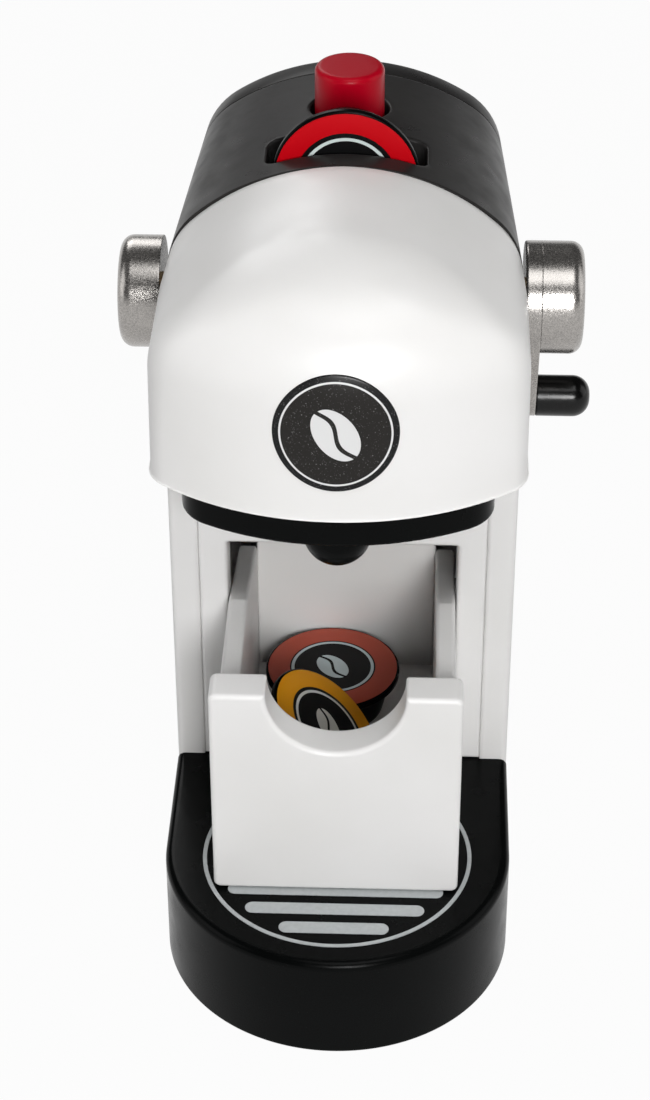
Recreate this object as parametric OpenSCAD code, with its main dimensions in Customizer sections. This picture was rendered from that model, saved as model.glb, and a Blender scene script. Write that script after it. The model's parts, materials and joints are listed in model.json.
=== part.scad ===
// Toy capsule coffee maker, made of lacquered wood boards and turned parts.
// Millimetres, +Z up. The front faces -Y. The origin is the middle of the base underside.

/* [Base] */
// Width of the base, of the tower and of the front of the head
body_w = 108; // [104:0.5:112]
// Depth of the base, from its round front to its back
base_d = 207; // [203:1:215]
// Height of the base
base_h = 36; // [30:1:40]
// Rounding of the top edge of the base
base_edge = 3.5; // [2:0.5:5]
// Distance from the round front of the base to the front of the tower
front_reach = 99; // [94:1:102]
// Outer radius of the printed drip tray ring
tray_r = 42; // [38:0.5:44]
// Distance between the middles of the drip tray bars
bar_pitch = 8.4; // [8:0.1:9]
// Number of drip tray bars
bar_count = 9; // [7:2:9]

/* [Tower] */
// Thickness of the side panels and of the front frame
panel_t = 9; // [8:0.5:10]
// Height of the underside of the head above the floor
head_bottom_z = 173; // [170:1:176]
// Width of the doorway for the drawer
door_w = 72; // [72:0.5:73]
// Height of the doorway above the base
door_h = 84; // [80:1:88]
// Thickness of the back board
back_t = 6; // [5:0.5:7]
// How far each side closes in from the front of the tower to the back
side_taper = 6; // [5:0.5:8]

/* [Head] */
// Height of the crown of the head above the floor
head_top_z = 241; // [239:0.5:242]
// How far the crown drops from the seam to the back
crown_drop = 6.5; // [5:0.5:8]
// Radius of the crown, seen from the front
crown_r = 68; // [64:1:72]
// Radius of the shoulders, seen from the front
shoulder_r = 24; // [20:1:26]
// Distance from the front of the tower forward to the lower front edge of the head
head_reach = 65.5; // [63:0.5:67]
// Backward lean of the front of the head, in degrees
front_lean = 3.9; // [3:0.1:5]
// Radius of the front of the head, seen from above
front_r = 80; // [76:1:90]
// Radius of the two upright front corners
corner_r = 12; // [10:1:15]
// Height where the front starts to curve back into the crown
brow_z = 211; // [208:1:214]
// Depth of that curve, along the head
brow_d = 41; // [36:1:44]
// Distance from the front of the tower back to the seam between the two halves
seam_back = 19; // [18:0.5:20]
// Wall thickness of the head
head_wall = 9; // [8:0.5:10]
// Thickness of the cover at the back of the head
cover_t = 12; // [10:0.5:13]
// Thickness of the black board under the front of the head
plate_t = 10; // [8:0.5:11]
// Diameter of the spout
spout_d = 20; // [18:0.5:21]
// Diameter of the round badge
badge_d = 35.2; // [34:0.2:37]

/* [Capsule release] */
// Length of the slot for a capsule, across the head
slot_w = 47.5; // [46.5:0.5:49]
// Width of the slot, along the head
slot_l = 18; // [16:0.5:19]
// Distance from the front of the tower back to the lever axis
axis_back = 37.8; // [37:0.1:38.5]
// Height of the lever axis above the floor
axis_z = 187.8; // [187:0.1:189]
// Diameter of the drum that carries the capsule
drum_d = 42; // [40:0.5:43]
// Diameter of the stub shafts
stub_d = 12; // [10:0.5:12]
// Diameter of the knobs
knob_d = 34.5; // [32:0.5:36]
// Length of the knobs
knob_l = 13; // [12:0.5:15]
// Thickness of the lever arm
arm_t = 5; // [4:0.5:6]
// Distance from the lever axis to the middle of the handle
arm_l = 35.2; // [33:0.1:37]
// Diameter of the handle
handle_d = 13; // [12:0.5:14]

/* [Button] */
// Diameter of the button
button_d = 21.3; // [20.5:0.1:21.5]
// Distance from the front of the tower back to the middle of the button
button_back = 67.5; // [67:0.5:68]
// Height of the top of the button above the floor
button_top_z = 250.3; // [249:0.1:253]
// Travel of the button
button_travel = 6; // [4:0.5:6]
// Diameter of the wire of the spring under the button
wire_d = 1.2; // [1:0.1:1.4]
// Number of turns of that spring
spring_turns = 5; // [4:1:6]

/* [Drawer] */
// Width of the drawer front
drawer_w = 75; // [74:0.5:77]
// Thickness of the drawer front
drawer_front_t = 12; // [10:0.5:13]
// Height of the top of the drawer front above the base
drawer_h = 75; // [72:0.5:77]
// Radius of the finger notch
notch_r = 20.7; // [18:0.1:22]
// How far the drawer stands open
drawer_open = 54; // [50:1:54]
// Width of the drawer body
drawer_body_w = 71; // [70:0.5:71.2]
// Inner length of the drawer
drawer_inner_l = 96; // [94:0.5:96]
// Thickness of the sides and the floor of the drawer
drawer_t = 6; // [5:0.5:6.5]

/* [Capsules] */
// Diameter of a capsule across its rim
capsule_d = 44; // [43:0.5:45]
// Thickness of a capsule
capsule_t = 15; // [13:0.5:15]
// Diameter of the printed label
label_d = 42.4; // [40:0.2:43]

/* [Hidden] */
$fn = 96;

half_w = body_w / 2;
back_y = base_d / 2;
tower_y = front_reach - base_d / 2;      // front plane of the tower
seam_y = tower_y + seam_back;
axis_y = tower_y + axis_back;
button_y = tower_y + button_back;
cover_y = back_y - cover_t;
tower_len = back_y - tower_y;
head_front_y = tower_y - head_reach;
gap = 0.3;                               // clearance between parts that move past each other
thin = 0.02;                             // thickness of the slices that a loft runs through
print_t = 0.2;                           // thickness of a print or a sticker
over = 1;                                // how far a cutter runs past what it cuts

white = "#E6E5E3";
black = "#1B1C1D";
silver = "#B9BBBC";

// ---------- shapes that repeat ----------

// Half the outer width of the tower and the head at a depth y.
function side_half(y) = half_w - side_taper * max(0, y - tower_y) / tower_len;

// Height of the crown at a depth y.
function crown_z(y) = head_top_z - crown_drop * max(0, y - seam_y) / (back_y - seam_y);

// Outline with straight sides, round corners and a bowed far edge, from y = foot to y = apex.
// The corner arcs touch both the sides and the bow.
function crowned(half, apex, bow, corner, foot, steps = 12) =
    let (cx = half - corner,
         rise = sqrt(pow(bow - corner, 2) - cx * cx),
         cy = apex - bow + rise,
         lean = atan2(cx, rise))
    concat(
        [[half, foot]],
        [for (i = [0:steps]) let (a = (90 - lean) * i / steps)
            [cx + corner * cos(a), cy + corner * sin(a)]],
        [for (i = [1:steps - 1]) let (a = lean * (1 - 2 * i / steps))
            [bow * sin(a), apex - bow + bow * cos(a)]],
        [for (i = [steps:-1:0]) let (a = (90 - lean) * i / steps)
            [-cx - corner * cos(a), cy + corner * sin(a)]],
        [[-half, foot]]);

// Half the width of a crowned outline at a height z.
function crowned_half(z, half, apex, bow, corner) =
    let (cx = half - corner,
         rise = sqrt(pow(bow - corner, 2) - cx * cx),
         cy = apex - bow + rise,
         join_z = cy + corner * rise / (bow - corner))
    z <= cy ? half
    : z <= join_z ? cx + sqrt(corner * corner - pow(z - cy, 2))
    : sqrt(max(0, bow * bow - pow(z - apex + bow, 2)));

module rounded_rectangle(a, b, r) {
    translate([r, 0]) square([a - 2 * r, b]);
    translate([0, r]) square([a, b - 2 * r]);
    for (x = [r, a - r], y = [r, b - r]) translate([x, y]) circle(r);
}

// Board with all its edges rounded, one corner at the origin.
module rounded_board(size, r) {
    intersection() {
        linear_extrude(size[2]) rounded_rectangle(size[0], size[1], r);
        translate([0, size[1], 0]) rotate([90, 0, 0])
            linear_extrude(size[1]) rounded_rectangle(size[0], size[2], r);
        rotate([90, 0, 90]) linear_extrude(size[0]) rounded_rectangle(size[1], size[2], r);
    }
}

// Turned peg along +X with a rounded far end.
module turned_peg(d, length, r) {
    rotate([0, 90, 0]) rotate_extrude() intersection() {
        union() {
            square([d / 2, length - r]);
            square([d / 2 - r, length]);
            translate([d / 2 - r, length - r]) circle(r);
        }
        square([d / 2, length]);
    }
}

// Keeps what lies right of the middle (side = 1) or mirrors it to the left (side = -1).
module on_side(side) {
    if (side > 0) children();
    else mirror([1, 0, 0]) children();
}

// ---------- base ----------

module base_block() {
    straight = tower_y + base_d / 2 - half_w;
    color(black) {
        translate([0, half_w - base_d / 2, 0]) rotate_extrude() {
            square([half_w - base_edge, base_h]);
            square([half_w, base_h - base_edge]);
            translate([half_w - base_edge, base_h - base_edge]) circle(base_edge);
        }
        translate([0, tower_y, 0]) rotate([90, 0, 0]) linear_extrude(straight) {
            translate([-half_w, 0]) square([body_w, base_h - base_edge]);
            translate([-half_w + base_edge, 0]) square([body_w - 2 * base_edge, base_h]);
            for (s = [-1, 1])
                translate([s * (half_w - base_edge), base_h - base_edge]) circle(base_edge);
        }
        linear_extrude(base_h) polygon([
            [panel_t - half_w, tower_y], [half_w - panel_t, tower_y],
            [side_half(back_y) - panel_t, back_y], [panel_t - side_half(back_y), back_y]]);
    }
}

// Ring and bars printed on the base, one coat thick. The bars stop at the same gap to the ring.
module drip_tray_print() {
    ring_w = 2.3;
    bar_w = 4.8;
    bar_room = tray_r - ring_w - 0.2;
    bar_gap = 4;
    color("#B9BDBE") translate([0, half_w - base_d / 2 - 4, base_h]) linear_extrude(print_t) {
        difference() {
            circle(tray_r);
            circle(tray_r - ring_w);
        }
        for (i = [0:bar_count - 1]) {
            offset_y = (i - (bar_count - 1) / 2) * bar_pitch;
            reach = sqrt(pow(bar_room, 2) - pow(abs(offset_y) + bar_w / 4, 2));
            length = 2 * reach - bar_gap;
            translate([0, offset_y]) {
                square([length - bar_w, bar_w], center = true);
                for (s = [-1, 1]) translate([s * (length - bar_w) / 2, 0]) circle(bar_w / 2);
            }
        }
    }
}

// ---------- tower ----------

// The panels lap the narrow back part of the base and stand on the floor.
module side_panel(side) {
    color(white) on_side(side) linear_extrude(head_bottom_z) polygon([
        [half_w - panel_t, tower_y], [half_w, tower_y],
        [side_half(back_y), back_y], [side_half(back_y) - panel_t, back_y]]);
}

module front_frame() {
    inner_half = half_w - panel_t;
    back_half = side_half(tower_y + panel_t) - panel_t;
    color(white) difference() {
        translate([0, 0, base_h]) linear_extrude(head_bottom_z - base_h) polygon([
            [-inner_half, tower_y], [inner_half, tower_y],
            [back_half, tower_y + panel_t], [-back_half, tower_y + panel_t]]);
        translate([-door_w / 2, tower_y - over, base_h - over])
            cube([door_w, panel_t + 2 * over, door_h + over]);
    }
}

module tower_back() {
    inner = side_half(back_y - back_t) - panel_t;
    outer = side_half(back_y) - panel_t;
    color(white) translate([0, 0, base_h]) linear_extrude(head_bottom_z - base_h) polygon([
        [-inner, back_y - back_t], [inner, back_y - back_t], [outer, back_y], [-outer, back_y]]);
}

// Strips glued on the base that keep the drawer straight inside the tower.
module drawer_rail(side) {
    rail_t = 3.6;
    rail_h = 10;
    rail_l = 55;
    color("#D8CDB6") on_side(side)
        translate([drawer_body_w / 2 + 0.8, tower_y + panel_t, base_h]) cube([rail_t, rail_l, rail_h]);
}

// ---------- head ----------

// Plan of the front half at a height z, set in by inset.
module head_plan(z, inset) {
    rise = max(0, z - (brow_z - inset)) / (head_top_z - brow_z);
    lean_y = (z - head_bottom_z) * tan(front_lean);
    brow = brow_d * (1 - sqrt(max(0, 1 - rise * rise)));
    front = head_front_y + lean_y + brow + inset;
    half = crowned_half(z, half_w - inset, head_top_z - inset, crown_r - inset, shoulder_r - inset);
    seam_half = half - (half_w - side_half(seam_y));
    corner = min(corner_r - inset / 2, half * 0.8);
    outline = crowned(half, -front, front_r - inset, corner, -tower_y, 7);
    mirror([0, 1]) polygon(concat([[seam_half, -seam_y]], outline, [[-seam_half, -seam_y]]));
}

// Solid of the front half: a loft through plans, closer together towards the crown.
module head_front_form(inset = 0) {
    levels = 15;
    crown = head_top_z - inset;
    hull() {
        translate([0, 0, head_bottom_z - (inset > 0 ? over : 0)])
            linear_extrude(thin) head_plan(head_bottom_z, inset);
        for (i = [0:levels]) {
            z = crown - 0.4 - (crown - 0.4 - 195) * pow(1 - i / levels, 2);
            translate([0, 0, z - thin]) linear_extrude(thin) head_plan(z, inset);
        }
    }
}

module head_section(y, inset) {
    translate([0, y + thin / 2, 0]) rotate([90, 0, 0]) linear_extrude(thin) polygon(crowned(
        side_half(y) - inset, crown_z(y) - inset, crown_r - inset, shoulder_r - inset,
        head_bottom_z - (inset > 0 ? over : 0)));
}

// Solid of the head between two depths behind the seam.
module head_rear_form(y0, y1, inset = 0) {
    hull() {
        head_section(y0 + thin / 2, inset);
        head_section(y1 - thin / 2, inset);
    }
}

// Hollow of the head behind the seam. It runs past both ends of the hood.
module head_hollow() {
    head_rear_form(seam_y - over, cover_y + over, head_wall);
}

module head_front() {
    front_wall = 10;
    color(white) difference() {
        head_front_form();
        head_front_form(front_wall);
        head_rear_form(seam_y - 4, seam_y + over, head_wall);
        dowel_rods();
    }
}

module capsule_slot() {
    translate([-slot_w / 2, axis_y - slot_l / 2, axis_z + drum_d / 2])
        linear_extrude(head_top_z) rounded_rectangle(slot_w, slot_l, 3.5);
}

module hood() {
    color(black) difference() {
        head_rear_form(seam_y, cover_y);
        head_hollow();
        capsule_slot();
        translate([0, button_y, axis_z]) cylinder(d = button_hole_d, h = head_top_z);
        translate([-body_w / 2, axis_y, axis_z]) rotate([0, 90, 0])
            cylinder(d = stub_d + 0.1, h = body_w);
        dowel_rods();
        screw_bores();
    }
}

module rear_cover() {
    color(black) difference() {
        head_rear_form(cover_y, back_y);
        screw_bores();
    }
}

screw_d = 3.4;
screw_l = 18;
screw_head_t = 1.8;
screw_sink = 0.4;                        // how far the screw heads lie below the cover's face

// The four screws of the cover, each along -Y from the cover's face into the wall of the hood.
module screw_places() {
    for (s = [-1, 1], place = [[43.5, 184], [22, 226.4]])
        translate([s * place[0], back_y, place[1]]) rotate([90, 0, 0]) children();
}

module screw_bores() {
    screw_places() {
        cylinder(d = screw_d, h = screw_sink + screw_l);
        translate([0, 0, -over]) cylinder(d = 6.4, h = over + screw_sink + screw_head_t);
    }
}

module cover_screws() {
    color(silver) screw_places() translate([0, 0, screw_sink]) {
        cylinder(d = 6, h = screw_head_t);
        cylinder(d = screw_d, h = screw_l);
    }
}

// Black board under the overhang, with a rounded lower edge.
module head_plate() {
    lower_edge = 3;
    half = half_w - panel_t;
    front = -(head_front_y + 1.7);
    color(black) hull()
        for (step = [[0, lower_edge], [0.9, 0.9], [lower_edge, 0], [plate_t - thin, 0]])
            translate([0, 0, head_bottom_z - plate_t + step[0]]) linear_extrude(thin)
                mirror([0, 1]) polygon(crowned(
                    half - step[1], front - step[1], front_r - 2, 14, -tower_y, 10));
}

module spout() {
    neck = 5;                            // straight length between the plate and the ball
    radius = spout_d / 2;
    color(black) translate([0, head_front_y + 17.5, head_bottom_z - plate_t])
        rotate_extrude() {
            translate([0, -neck]) square([radius, neck]);
            intersection() {
                translate([0, -neck]) circle(radius);
                translate([0, -neck - radius]) square([radius, radius]);
            }
        }
}

// Round sticker that follows the curved front.
module badge() {
    color("#151515") intersection() {
        translate([0, head_front_y - over, 200.6]) rotate([-90 - front_lean, 0, 0])
            cylinder(d = badge_d, h = 20);
        difference() {
            head_front_form(-0.5);
            head_front_form();
        }
    }
}

// Dowels across the seam, in the thickness of the side walls.
module dowel_rods() {
    dowel_l = 16;
    for (s = [-1, 1], z = [184, 200])
        translate([s * 48, seam_y + dowel_l / 2, z]) rotate([90, 0, 0]) cylinder(d = 6, h = dowel_l);
}

module joint_dowels() {
    color("#C9B78F") dowel_rods();
}

// ---------- capsule guides inside the head ----------

module inside_head(y0, y1, z0) {
    intersection() {
        head_hollow();
        translate([-half_w, y0, z0]) cube([body_w, y1 - y0, head_top_z - z0]);
    }
}

chute_t = 4;
chute_z = axis_z + drum_d / 2 - 0.6;     // lower edge of the guide boards, above the drum

module chute_front() {
    y1 = axis_y - slot_l / 2 - 0.25;
    color("#D8CDB6") inside_head(y1 - chute_t, y1, chute_z);
}

module chute_back() {
    y0 = axis_y + slot_l / 2 + 0.25;
    color("#D8CDB6") inside_head(y0, y0 + chute_t, chute_z);
}

module chute_side(side) {
    color("#D8CDB6") on_side(side) intersection() {
        inside_head(axis_y - slot_l / 2 - 0.25, axis_y + slot_l / 2 + 0.25, drum_top_clear);
        translate([slot_w / 2, 0, 0]) cube([chute_t, base_d, head_top_z]);
    }
}
drum_top_clear = axis_z + drum_d / 2 + 0.6;

// ---------- drum and lever ----------

// A cross hole as wide as a capsule: across at rest, upright when the lever is level.
module capsule_drum() {
    drum_l = 78;
    pass_h = 16;
    color("#D8CDB6") translate([0, axis_y, axis_z]) difference() {
        rotate([0, 90, 0]) cylinder(d = drum_d, h = drum_l, center = true);
        cube([slot_w, drum_d + 2 * over, pass_h], center = true);
        rotate([0, 90, 0]) cylinder(d = stub_d, h = drum_l + 2 * over, center = true);
    }
}

stub_in = 29;                            // inner end of a stub, inside the drum
knob_in = half_w + 0.4;                  // inner face of the lever arm
knob_play = 1.8;                         // how much further out the left knob stands
stub_grip = 9;                           // how deep a stub sits in its knob

module drum_stub(side) {
    outer = knob_in + stub_grip + (side > 0 ? arm_t : knob_play);
    color("#C9B78F") on_side(side) translate([stub_in, axis_y, axis_z]) rotate([0, 90, 0])
        cylinder(d = stub_d, h = outer - stub_in);
}

module knob(side) {
    inner = knob_in + (side > 0 ? arm_t : knob_play);
    color(silver) on_side(side) translate([inner, axis_y, axis_z]) difference() {
        turned_peg(knob_d, knob_l, 4);
        translate([-over, 0, 0]) rotate([0, 90, 0]) cylinder(d = stub_d, h = stub_grip + over);
    }
}

// Pear-shaped arm: from a disc as wide as the knob to one as wide as the handle.
module lever_arm() {
    color(silver) translate([knob_in, axis_y, axis_z]) rotate([90, 0, 90]) linear_extrude(arm_t)
        difference() {
            hull() {
                circle(knob_d / 2);
                translate([0, -arm_l]) circle(handle_d / 2);
            }
            circle(stub_d / 2);
        }
}

module lever_handle() {
    handle_l = 17;
    color(black) translate([knob_in + arm_t, axis_y, axis_z - arm_l])
        turned_peg(handle_d, handle_l, 5.5);
}

// ---------- button ----------

button_hole_d = button_d + 3;
flange_d = button_hole_d + 3;
flange_t = 2.2;
flange_top_z = crown_z(button_y) - head_wall - 2.2;
spring_d = 14;
spring_spare = 3.5;                      // height left when the button is pressed home
spring_seat_z = flange_top_z - flange_t - button_travel - (spring_turns + 1) * wire_d - spring_spare;

module button() {
    edge = 1.5;
    color("#B3061E") translate([0, button_y, flange_top_z - flange_t]) {
        rotate([0, -90, 0]) turned_peg(button_d, button_top_z - flange_top_z + flange_t, edge);
        cylinder(d = flange_d, h = flange_t);
    }
}

// Block glued under the crown, with a blind bore for the flange and the spring.
module button_guide() {
    color("#D8CDB6") difference() {
        inside_head(button_y - 16, button_y + 16, spring_seat_z - 3);
        translate([0, button_y, spring_seat_z]) cylinder(d = flange_d + 2 * gap, h = head_top_z);
    }
}

// Round wire carried along a helix; each ring of points stands across the wire.
module button_spring() {
    sides = 8;
    per_turn = 18;
    rings = spring_turns * per_turn;
    wire_r = wire_d / 2;
    mean_r = (spring_d - wire_d) / 2;
    rise = flange_top_z - flange_t - spring_seat_z - wire_d;
    points = [
        for (i = [0:rings], k = [0:sides - 1])
            let (turn = 360 * i / per_turn,
                 around = 360 * k / sides,
                 r = mean_r + wire_r * cos(around))
            [r * cos(turn), r * sin(turn), wire_r + rise * i / rings + wire_r * sin(around)]];
    walls = [
        for (i = [0:rings - 1], k = [0:sides - 1])
            let (a = i * sides + k, b = i * sides + (k + 1) % sides)
            [a, a + sides, b + sides, b]];
    ends = [
        [for (k = [0:sides - 1]) k],
        [for (k = [sides - 1:-1:0]) rings * sides + k]];
    color(silver) translate([0, button_y, spring_seat_z]) polyhedron(points, concat(walls, ends));
}

// ---------- drawer ----------

drawer_y = tower_y - drawer_open;        // back of the drawer front
drawer_z = base_h + 0.5;                 // underside of the drawer
drawer_floor_z = drawer_z + drawer_t;
drawer_end_y = drawer_y + drawer_inner_l;
drawer_back_t = 5;
drawer_back_h = 56;

module drawer_front() {
    height = base_h + drawer_h - drawer_z;
    color(white) difference() {
        translate([-drawer_w / 2, drawer_y - drawer_front_t, drawer_z])
            rounded_board([drawer_w, drawer_front_t, height], 2.5);
        translate([0, drawer_y + over, base_h + drawer_h]) rotate([90, 0, 0])
            cylinder(r = notch_r, h = drawer_front_t + 2 * over);
    }
}

// Side of the drawer: level at the front, then sloping down to a rounded corner.
module drawer_wall(side) {
    front_top = 102;
    rear_top = 88;
    round_r = 6;
    slope_y = tower_y - 5;
    end_y = drawer_end_y + drawer_back_t;
    color(white) on_side(side) translate([drawer_body_w / 2 - drawer_t, 0, 0])
        rotate([90, 0, 90]) linear_extrude(drawer_t) {
            polygon([
                [drawer_y, drawer_z], [end_y, drawer_z], [end_y, rear_top - round_r],
                [end_y - round_r, rear_top], [slope_y, front_top], [drawer_y, front_top]]);
            translate([end_y - round_r, rear_top - round_r]) circle(round_r);
        }
}

module drawer_back() {
    color(white) translate([drawer_t - drawer_body_w / 2, drawer_end_y, drawer_z])
        cube([drawer_body_w - 2 * drawer_t, drawer_back_t, drawer_back_h]);
}

module drawer_floor() {
    color(white) translate([drawer_t - drawer_body_w / 2, drawer_y, drawer_z])
        cube([drawer_body_w - 2 * drawer_t, drawer_inner_l, drawer_t]);
}

// ---------- capsules ----------

// Turned pod: a flat rim on a tapering cup. The face looks along +Z at z = 0.
module capsule() {
    rim_t = 2.5;
    cup_d = 39;
    foot_d = 33;
    color(black) rotate_extrude() polygon([
        [0, -capsule_t], [foot_d / 2, -capsule_t], [cup_d / 2, -rim_t],
        [capsule_d / 2, -rim_t], [capsule_d / 2, 0], [0, 0]]);
}

module capsule_label(tint) {
    color(tint) cylinder(d = label_d, h = print_t);
}

// Upright in the slot, resting on the drum.
module place_red() {
    translate([0, axis_y - slot_l / 2 + 1.3, axis_z + drum_d / 2 - 0.2 + capsule_d / 2])
        rotate([90, 0, 0]) children();
}

// Flat on the drawer floor, close to its back.
module place_brown() {
    translate([-3.7, drawer_end_y - capsule_d / 2 - 0.6, drawer_floor_z + gap + capsule_t])
        children();
}

// Tipped to the right, its foot on the floor and its edge against the flat one.
module place_amber() {
    translate([-3.7, -26.2, 65.3]) rotate([4, 41.5, 0]) children();
}

module capsule_red() { place_red() capsule(); }
module capsule_red_label() { place_red() capsule_label("#D3060F"); }
module capsule_brown() { place_brown() capsule(); }
module capsule_brown_label() { place_brown() capsule_label("#A04034"); }
module capsule_amber() { place_amber() capsule(); }
module capsule_amber_label() { place_amber() capsule_label("#D08A10"); }

base_block();
drip_tray_print();
side_panel(-1);  // side_panel_left
side_panel(1);  // side_panel_right
front_frame();
tower_back();
drawer_rail(-1);  // drawer_rail_left
drawer_rail(1);  // drawer_rail_right
head_front();
hood();
rear_cover();
head_plate();
spout();
badge();
chute_front();
chute_back();
chute_side(-1);  // chute_left
chute_side(1);  // chute_right
button_guide();
cover_screws();
joint_dowels();
capsule_drum();
drum_stub(-1);  // drum_stub_left
drum_stub(1);  // drum_stub_right
knob(-1);  // knob_left
knob(1);  // knob_right
lever_arm();
lever_handle();
button();
button_spring();
drawer_front();
drawer_wall(-1);  // drawer_wall_left
drawer_wall(1);  // drawer_wall_right
drawer_back();
drawer_floor();
capsule_red();
capsule_red_label();
capsule_brown();
capsule_brown_label();
capsule_amber();
capsule_amber_label();
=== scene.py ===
"""Toy capsule coffee maker of lacquered boards and turned parts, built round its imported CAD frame.

Shapes are worked out in millimetres as whole numpy arrays and turned to metres when they become meshes.
X runs to the lever's side, -Y to the front and Z up, with the origin under the middle of the base.
"""

import json
import math

import bmesh
import bpy
import numpy as np
from mathutils import Matrix, Vector
from mathutils.geometry import tessellate_polygon


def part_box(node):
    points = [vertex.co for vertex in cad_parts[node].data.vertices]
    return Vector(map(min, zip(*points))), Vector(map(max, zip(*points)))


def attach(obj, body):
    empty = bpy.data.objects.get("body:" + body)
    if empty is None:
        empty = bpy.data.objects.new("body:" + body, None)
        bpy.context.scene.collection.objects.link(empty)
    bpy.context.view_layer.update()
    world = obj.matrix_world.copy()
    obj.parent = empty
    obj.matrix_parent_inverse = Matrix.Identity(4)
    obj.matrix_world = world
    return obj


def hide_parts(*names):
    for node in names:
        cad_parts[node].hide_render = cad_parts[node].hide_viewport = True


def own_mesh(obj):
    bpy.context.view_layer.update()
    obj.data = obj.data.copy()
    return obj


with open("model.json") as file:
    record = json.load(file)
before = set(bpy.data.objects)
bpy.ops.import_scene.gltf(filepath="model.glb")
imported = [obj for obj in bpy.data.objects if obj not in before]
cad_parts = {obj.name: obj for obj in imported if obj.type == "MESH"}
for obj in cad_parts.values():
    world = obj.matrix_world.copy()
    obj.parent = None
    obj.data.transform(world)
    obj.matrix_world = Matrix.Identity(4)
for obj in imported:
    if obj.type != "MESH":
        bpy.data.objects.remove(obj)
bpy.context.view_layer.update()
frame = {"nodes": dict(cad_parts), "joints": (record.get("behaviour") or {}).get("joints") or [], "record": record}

bl_info = {
    "name": "Toy capsule coffee maker",
    "version": (1, 0, 0),
    "blender": (4, 5, 0),
    "location": "View3D > Sidebar > Coffee maker",
    "description": "Builds the lacquered surfaces, prints and stage of a toy coffee maker",
    "category": "Object",
}

MM = 0.001


def low(node):
    """Lowest corner of a CAD node, in millimetres."""
    return np.array(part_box(node)[0]) / MM


def high(node):
    """Highest corner of a CAD node, in millimetres."""
    return np.array(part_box(node)[1]) / MM


def middle(node):
    """Middle of a CAD node's box, in millimetres."""
    return (low(node) + high(node)) / 2


def joint(name):
    """A joint of the frame."""
    return next(row for row in frame["joints"] if row["name"] == name)


def joint_place(name):
    """A point on a joint's axis, in millimetres."""
    return np.array(joint(name)["pos_m"]) / MM


# ---------- sizes that follow the frame, in millimetres ----------

FRONT_Y, BACK_Y = low("side_panel_right")[1], high("side_panel_right")[1]
SEAM_Y = low("hood")[1]
COVER_Y = low("rear_cover")[1]
HALF_W = high("side_panel_right")[0]
HEAD_Z = low("hood")[2]
CROWN_Z = high("head_front")[2]
BASE_Z = high("base_block")[2]
PANEL_T = high("front_frame")[1] - low("front_frame")[1]
# The cover starts short of the back, so its box gives only a part of the crown's fall and of the taper.
CROWN_DROP = (CROWN_Z - high("rear_cover")[2]) * (BACK_Y - SEAM_Y) / (COVER_Y - SEAM_Y)
TAPER = (HALF_W - high("rear_cover")[0]) * (BACK_Y - FRONT_Y) / (COVER_Y - FRONT_Y)


def side_half(y):
    """Half the outer width at a depth: straight to the tower's front, then closing in evenly to the back."""
    return HALF_W - TAPER * np.maximum(0.0, y - FRONT_Y) / (BACK_Y - FRONT_Y)


def crown_z(y):
    """Height of the crown: level over the front half, then falling evenly to the back."""
    return CROWN_Z - CROWN_DROP * np.maximum(0.0, y - SEAM_Y) / (BACK_Y - SEAM_Y)


# ---------- outlines ----------


def unit(v):
    """Vectors of the same directions and of length one."""
    return v / np.maximum(np.linalg.norm(v, axis=-1, keepdims=True), 1e-12)


def rounded_outline(corners, radii, steps=6, guard=0.35):
    """Closed outline through corners, each replaced by an arc tangent to both its sides.

    An arc of radius r touches its sides at r / tan(half the corner's angle). A guard point on each
    side just beyond an arc keeps the shading of the flat part flat. A corner of radius nought stays
    one point, so outlines through the same corners always have the same number of points.
    """
    p = np.asarray(corners, float)
    r = np.broadcast_to(np.asarray(radii, float), len(p))
    to_a, to_b = np.roll(p, 1, 0) - p, np.roll(p, -1, 0) - p
    a, b = unit(to_a), unit(to_b)
    angle = np.arccos(np.clip((a * b).sum(1), -1, 1))
    reach = r / np.tan(angle / 2)
    free_a = np.linalg.norm(to_a, axis=1) - reach - np.roll(reach, 1)
    free_b = np.roll(free_a, -1)
    t = np.linspace(0, 1, steps + 1)[:, None]
    out = []
    for i in range(len(p)):
        if r[i] == 0:
            out.append(p[i:i + 1])
            continue
        centre = p[i] + unit(a[i] + b[i]) * r[i] / math.sin(angle[i] / 2)
        v0, v1 = p[i] + a[i] * reach[i] - centre, p[i] + b[i] * reach[i] - centre
        turn = math.pi - angle[i]
        arc = centre + (np.sin((1 - t) * turn) * v0 + np.sin(t * turn) * v1) / math.sin(turn)
        out.append((p[i] + a[i] * (reach[i] + min(guard, max(free_a[i], 0) / 3)))[None])
        out.append(arc)
        out.append((p[i] + b[i] * (reach[i] + min(guard, max(free_b[i], 0) / 3)))[None])
    return np.concatenate(out)


def inward(outline, closed=True):
    """Mitred inward shift per millimetre at each point of an anticlockwise outline.

    It is the sum of the two neighbouring edge normals over one plus their product. The two ends of
    an open outline take the normal of their only edge.
    """
    edge = unit(np.roll(outline, -1, 0) - outline)
    normal = np.stack([-edge[:, 1], edge[:, 0]], 1)
    before, after = np.roll(normal, 1, 0), normal.copy()
    if not closed:
        before[0] = after[0]
        after[-1] = before[-1]
    return (before + after) / (1 + (before * after).sum(1, keepdims=True))


def arc_points(centre, radius, start, end, steps):
    """Points at equal angles on a circle, from start to end in degrees."""
    a = np.radians(np.linspace(start, end, steps + 1))
    return np.stack([centre[0] + radius * np.cos(a), centre[1] + radius * np.sin(a)], 1)


def circle(centre, radius, steps):
    """Points at equal angles on a whole circle, with none doubled where it closes."""
    return arc_points(centre, radius, 0, 360, steps)[:-1]


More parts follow.
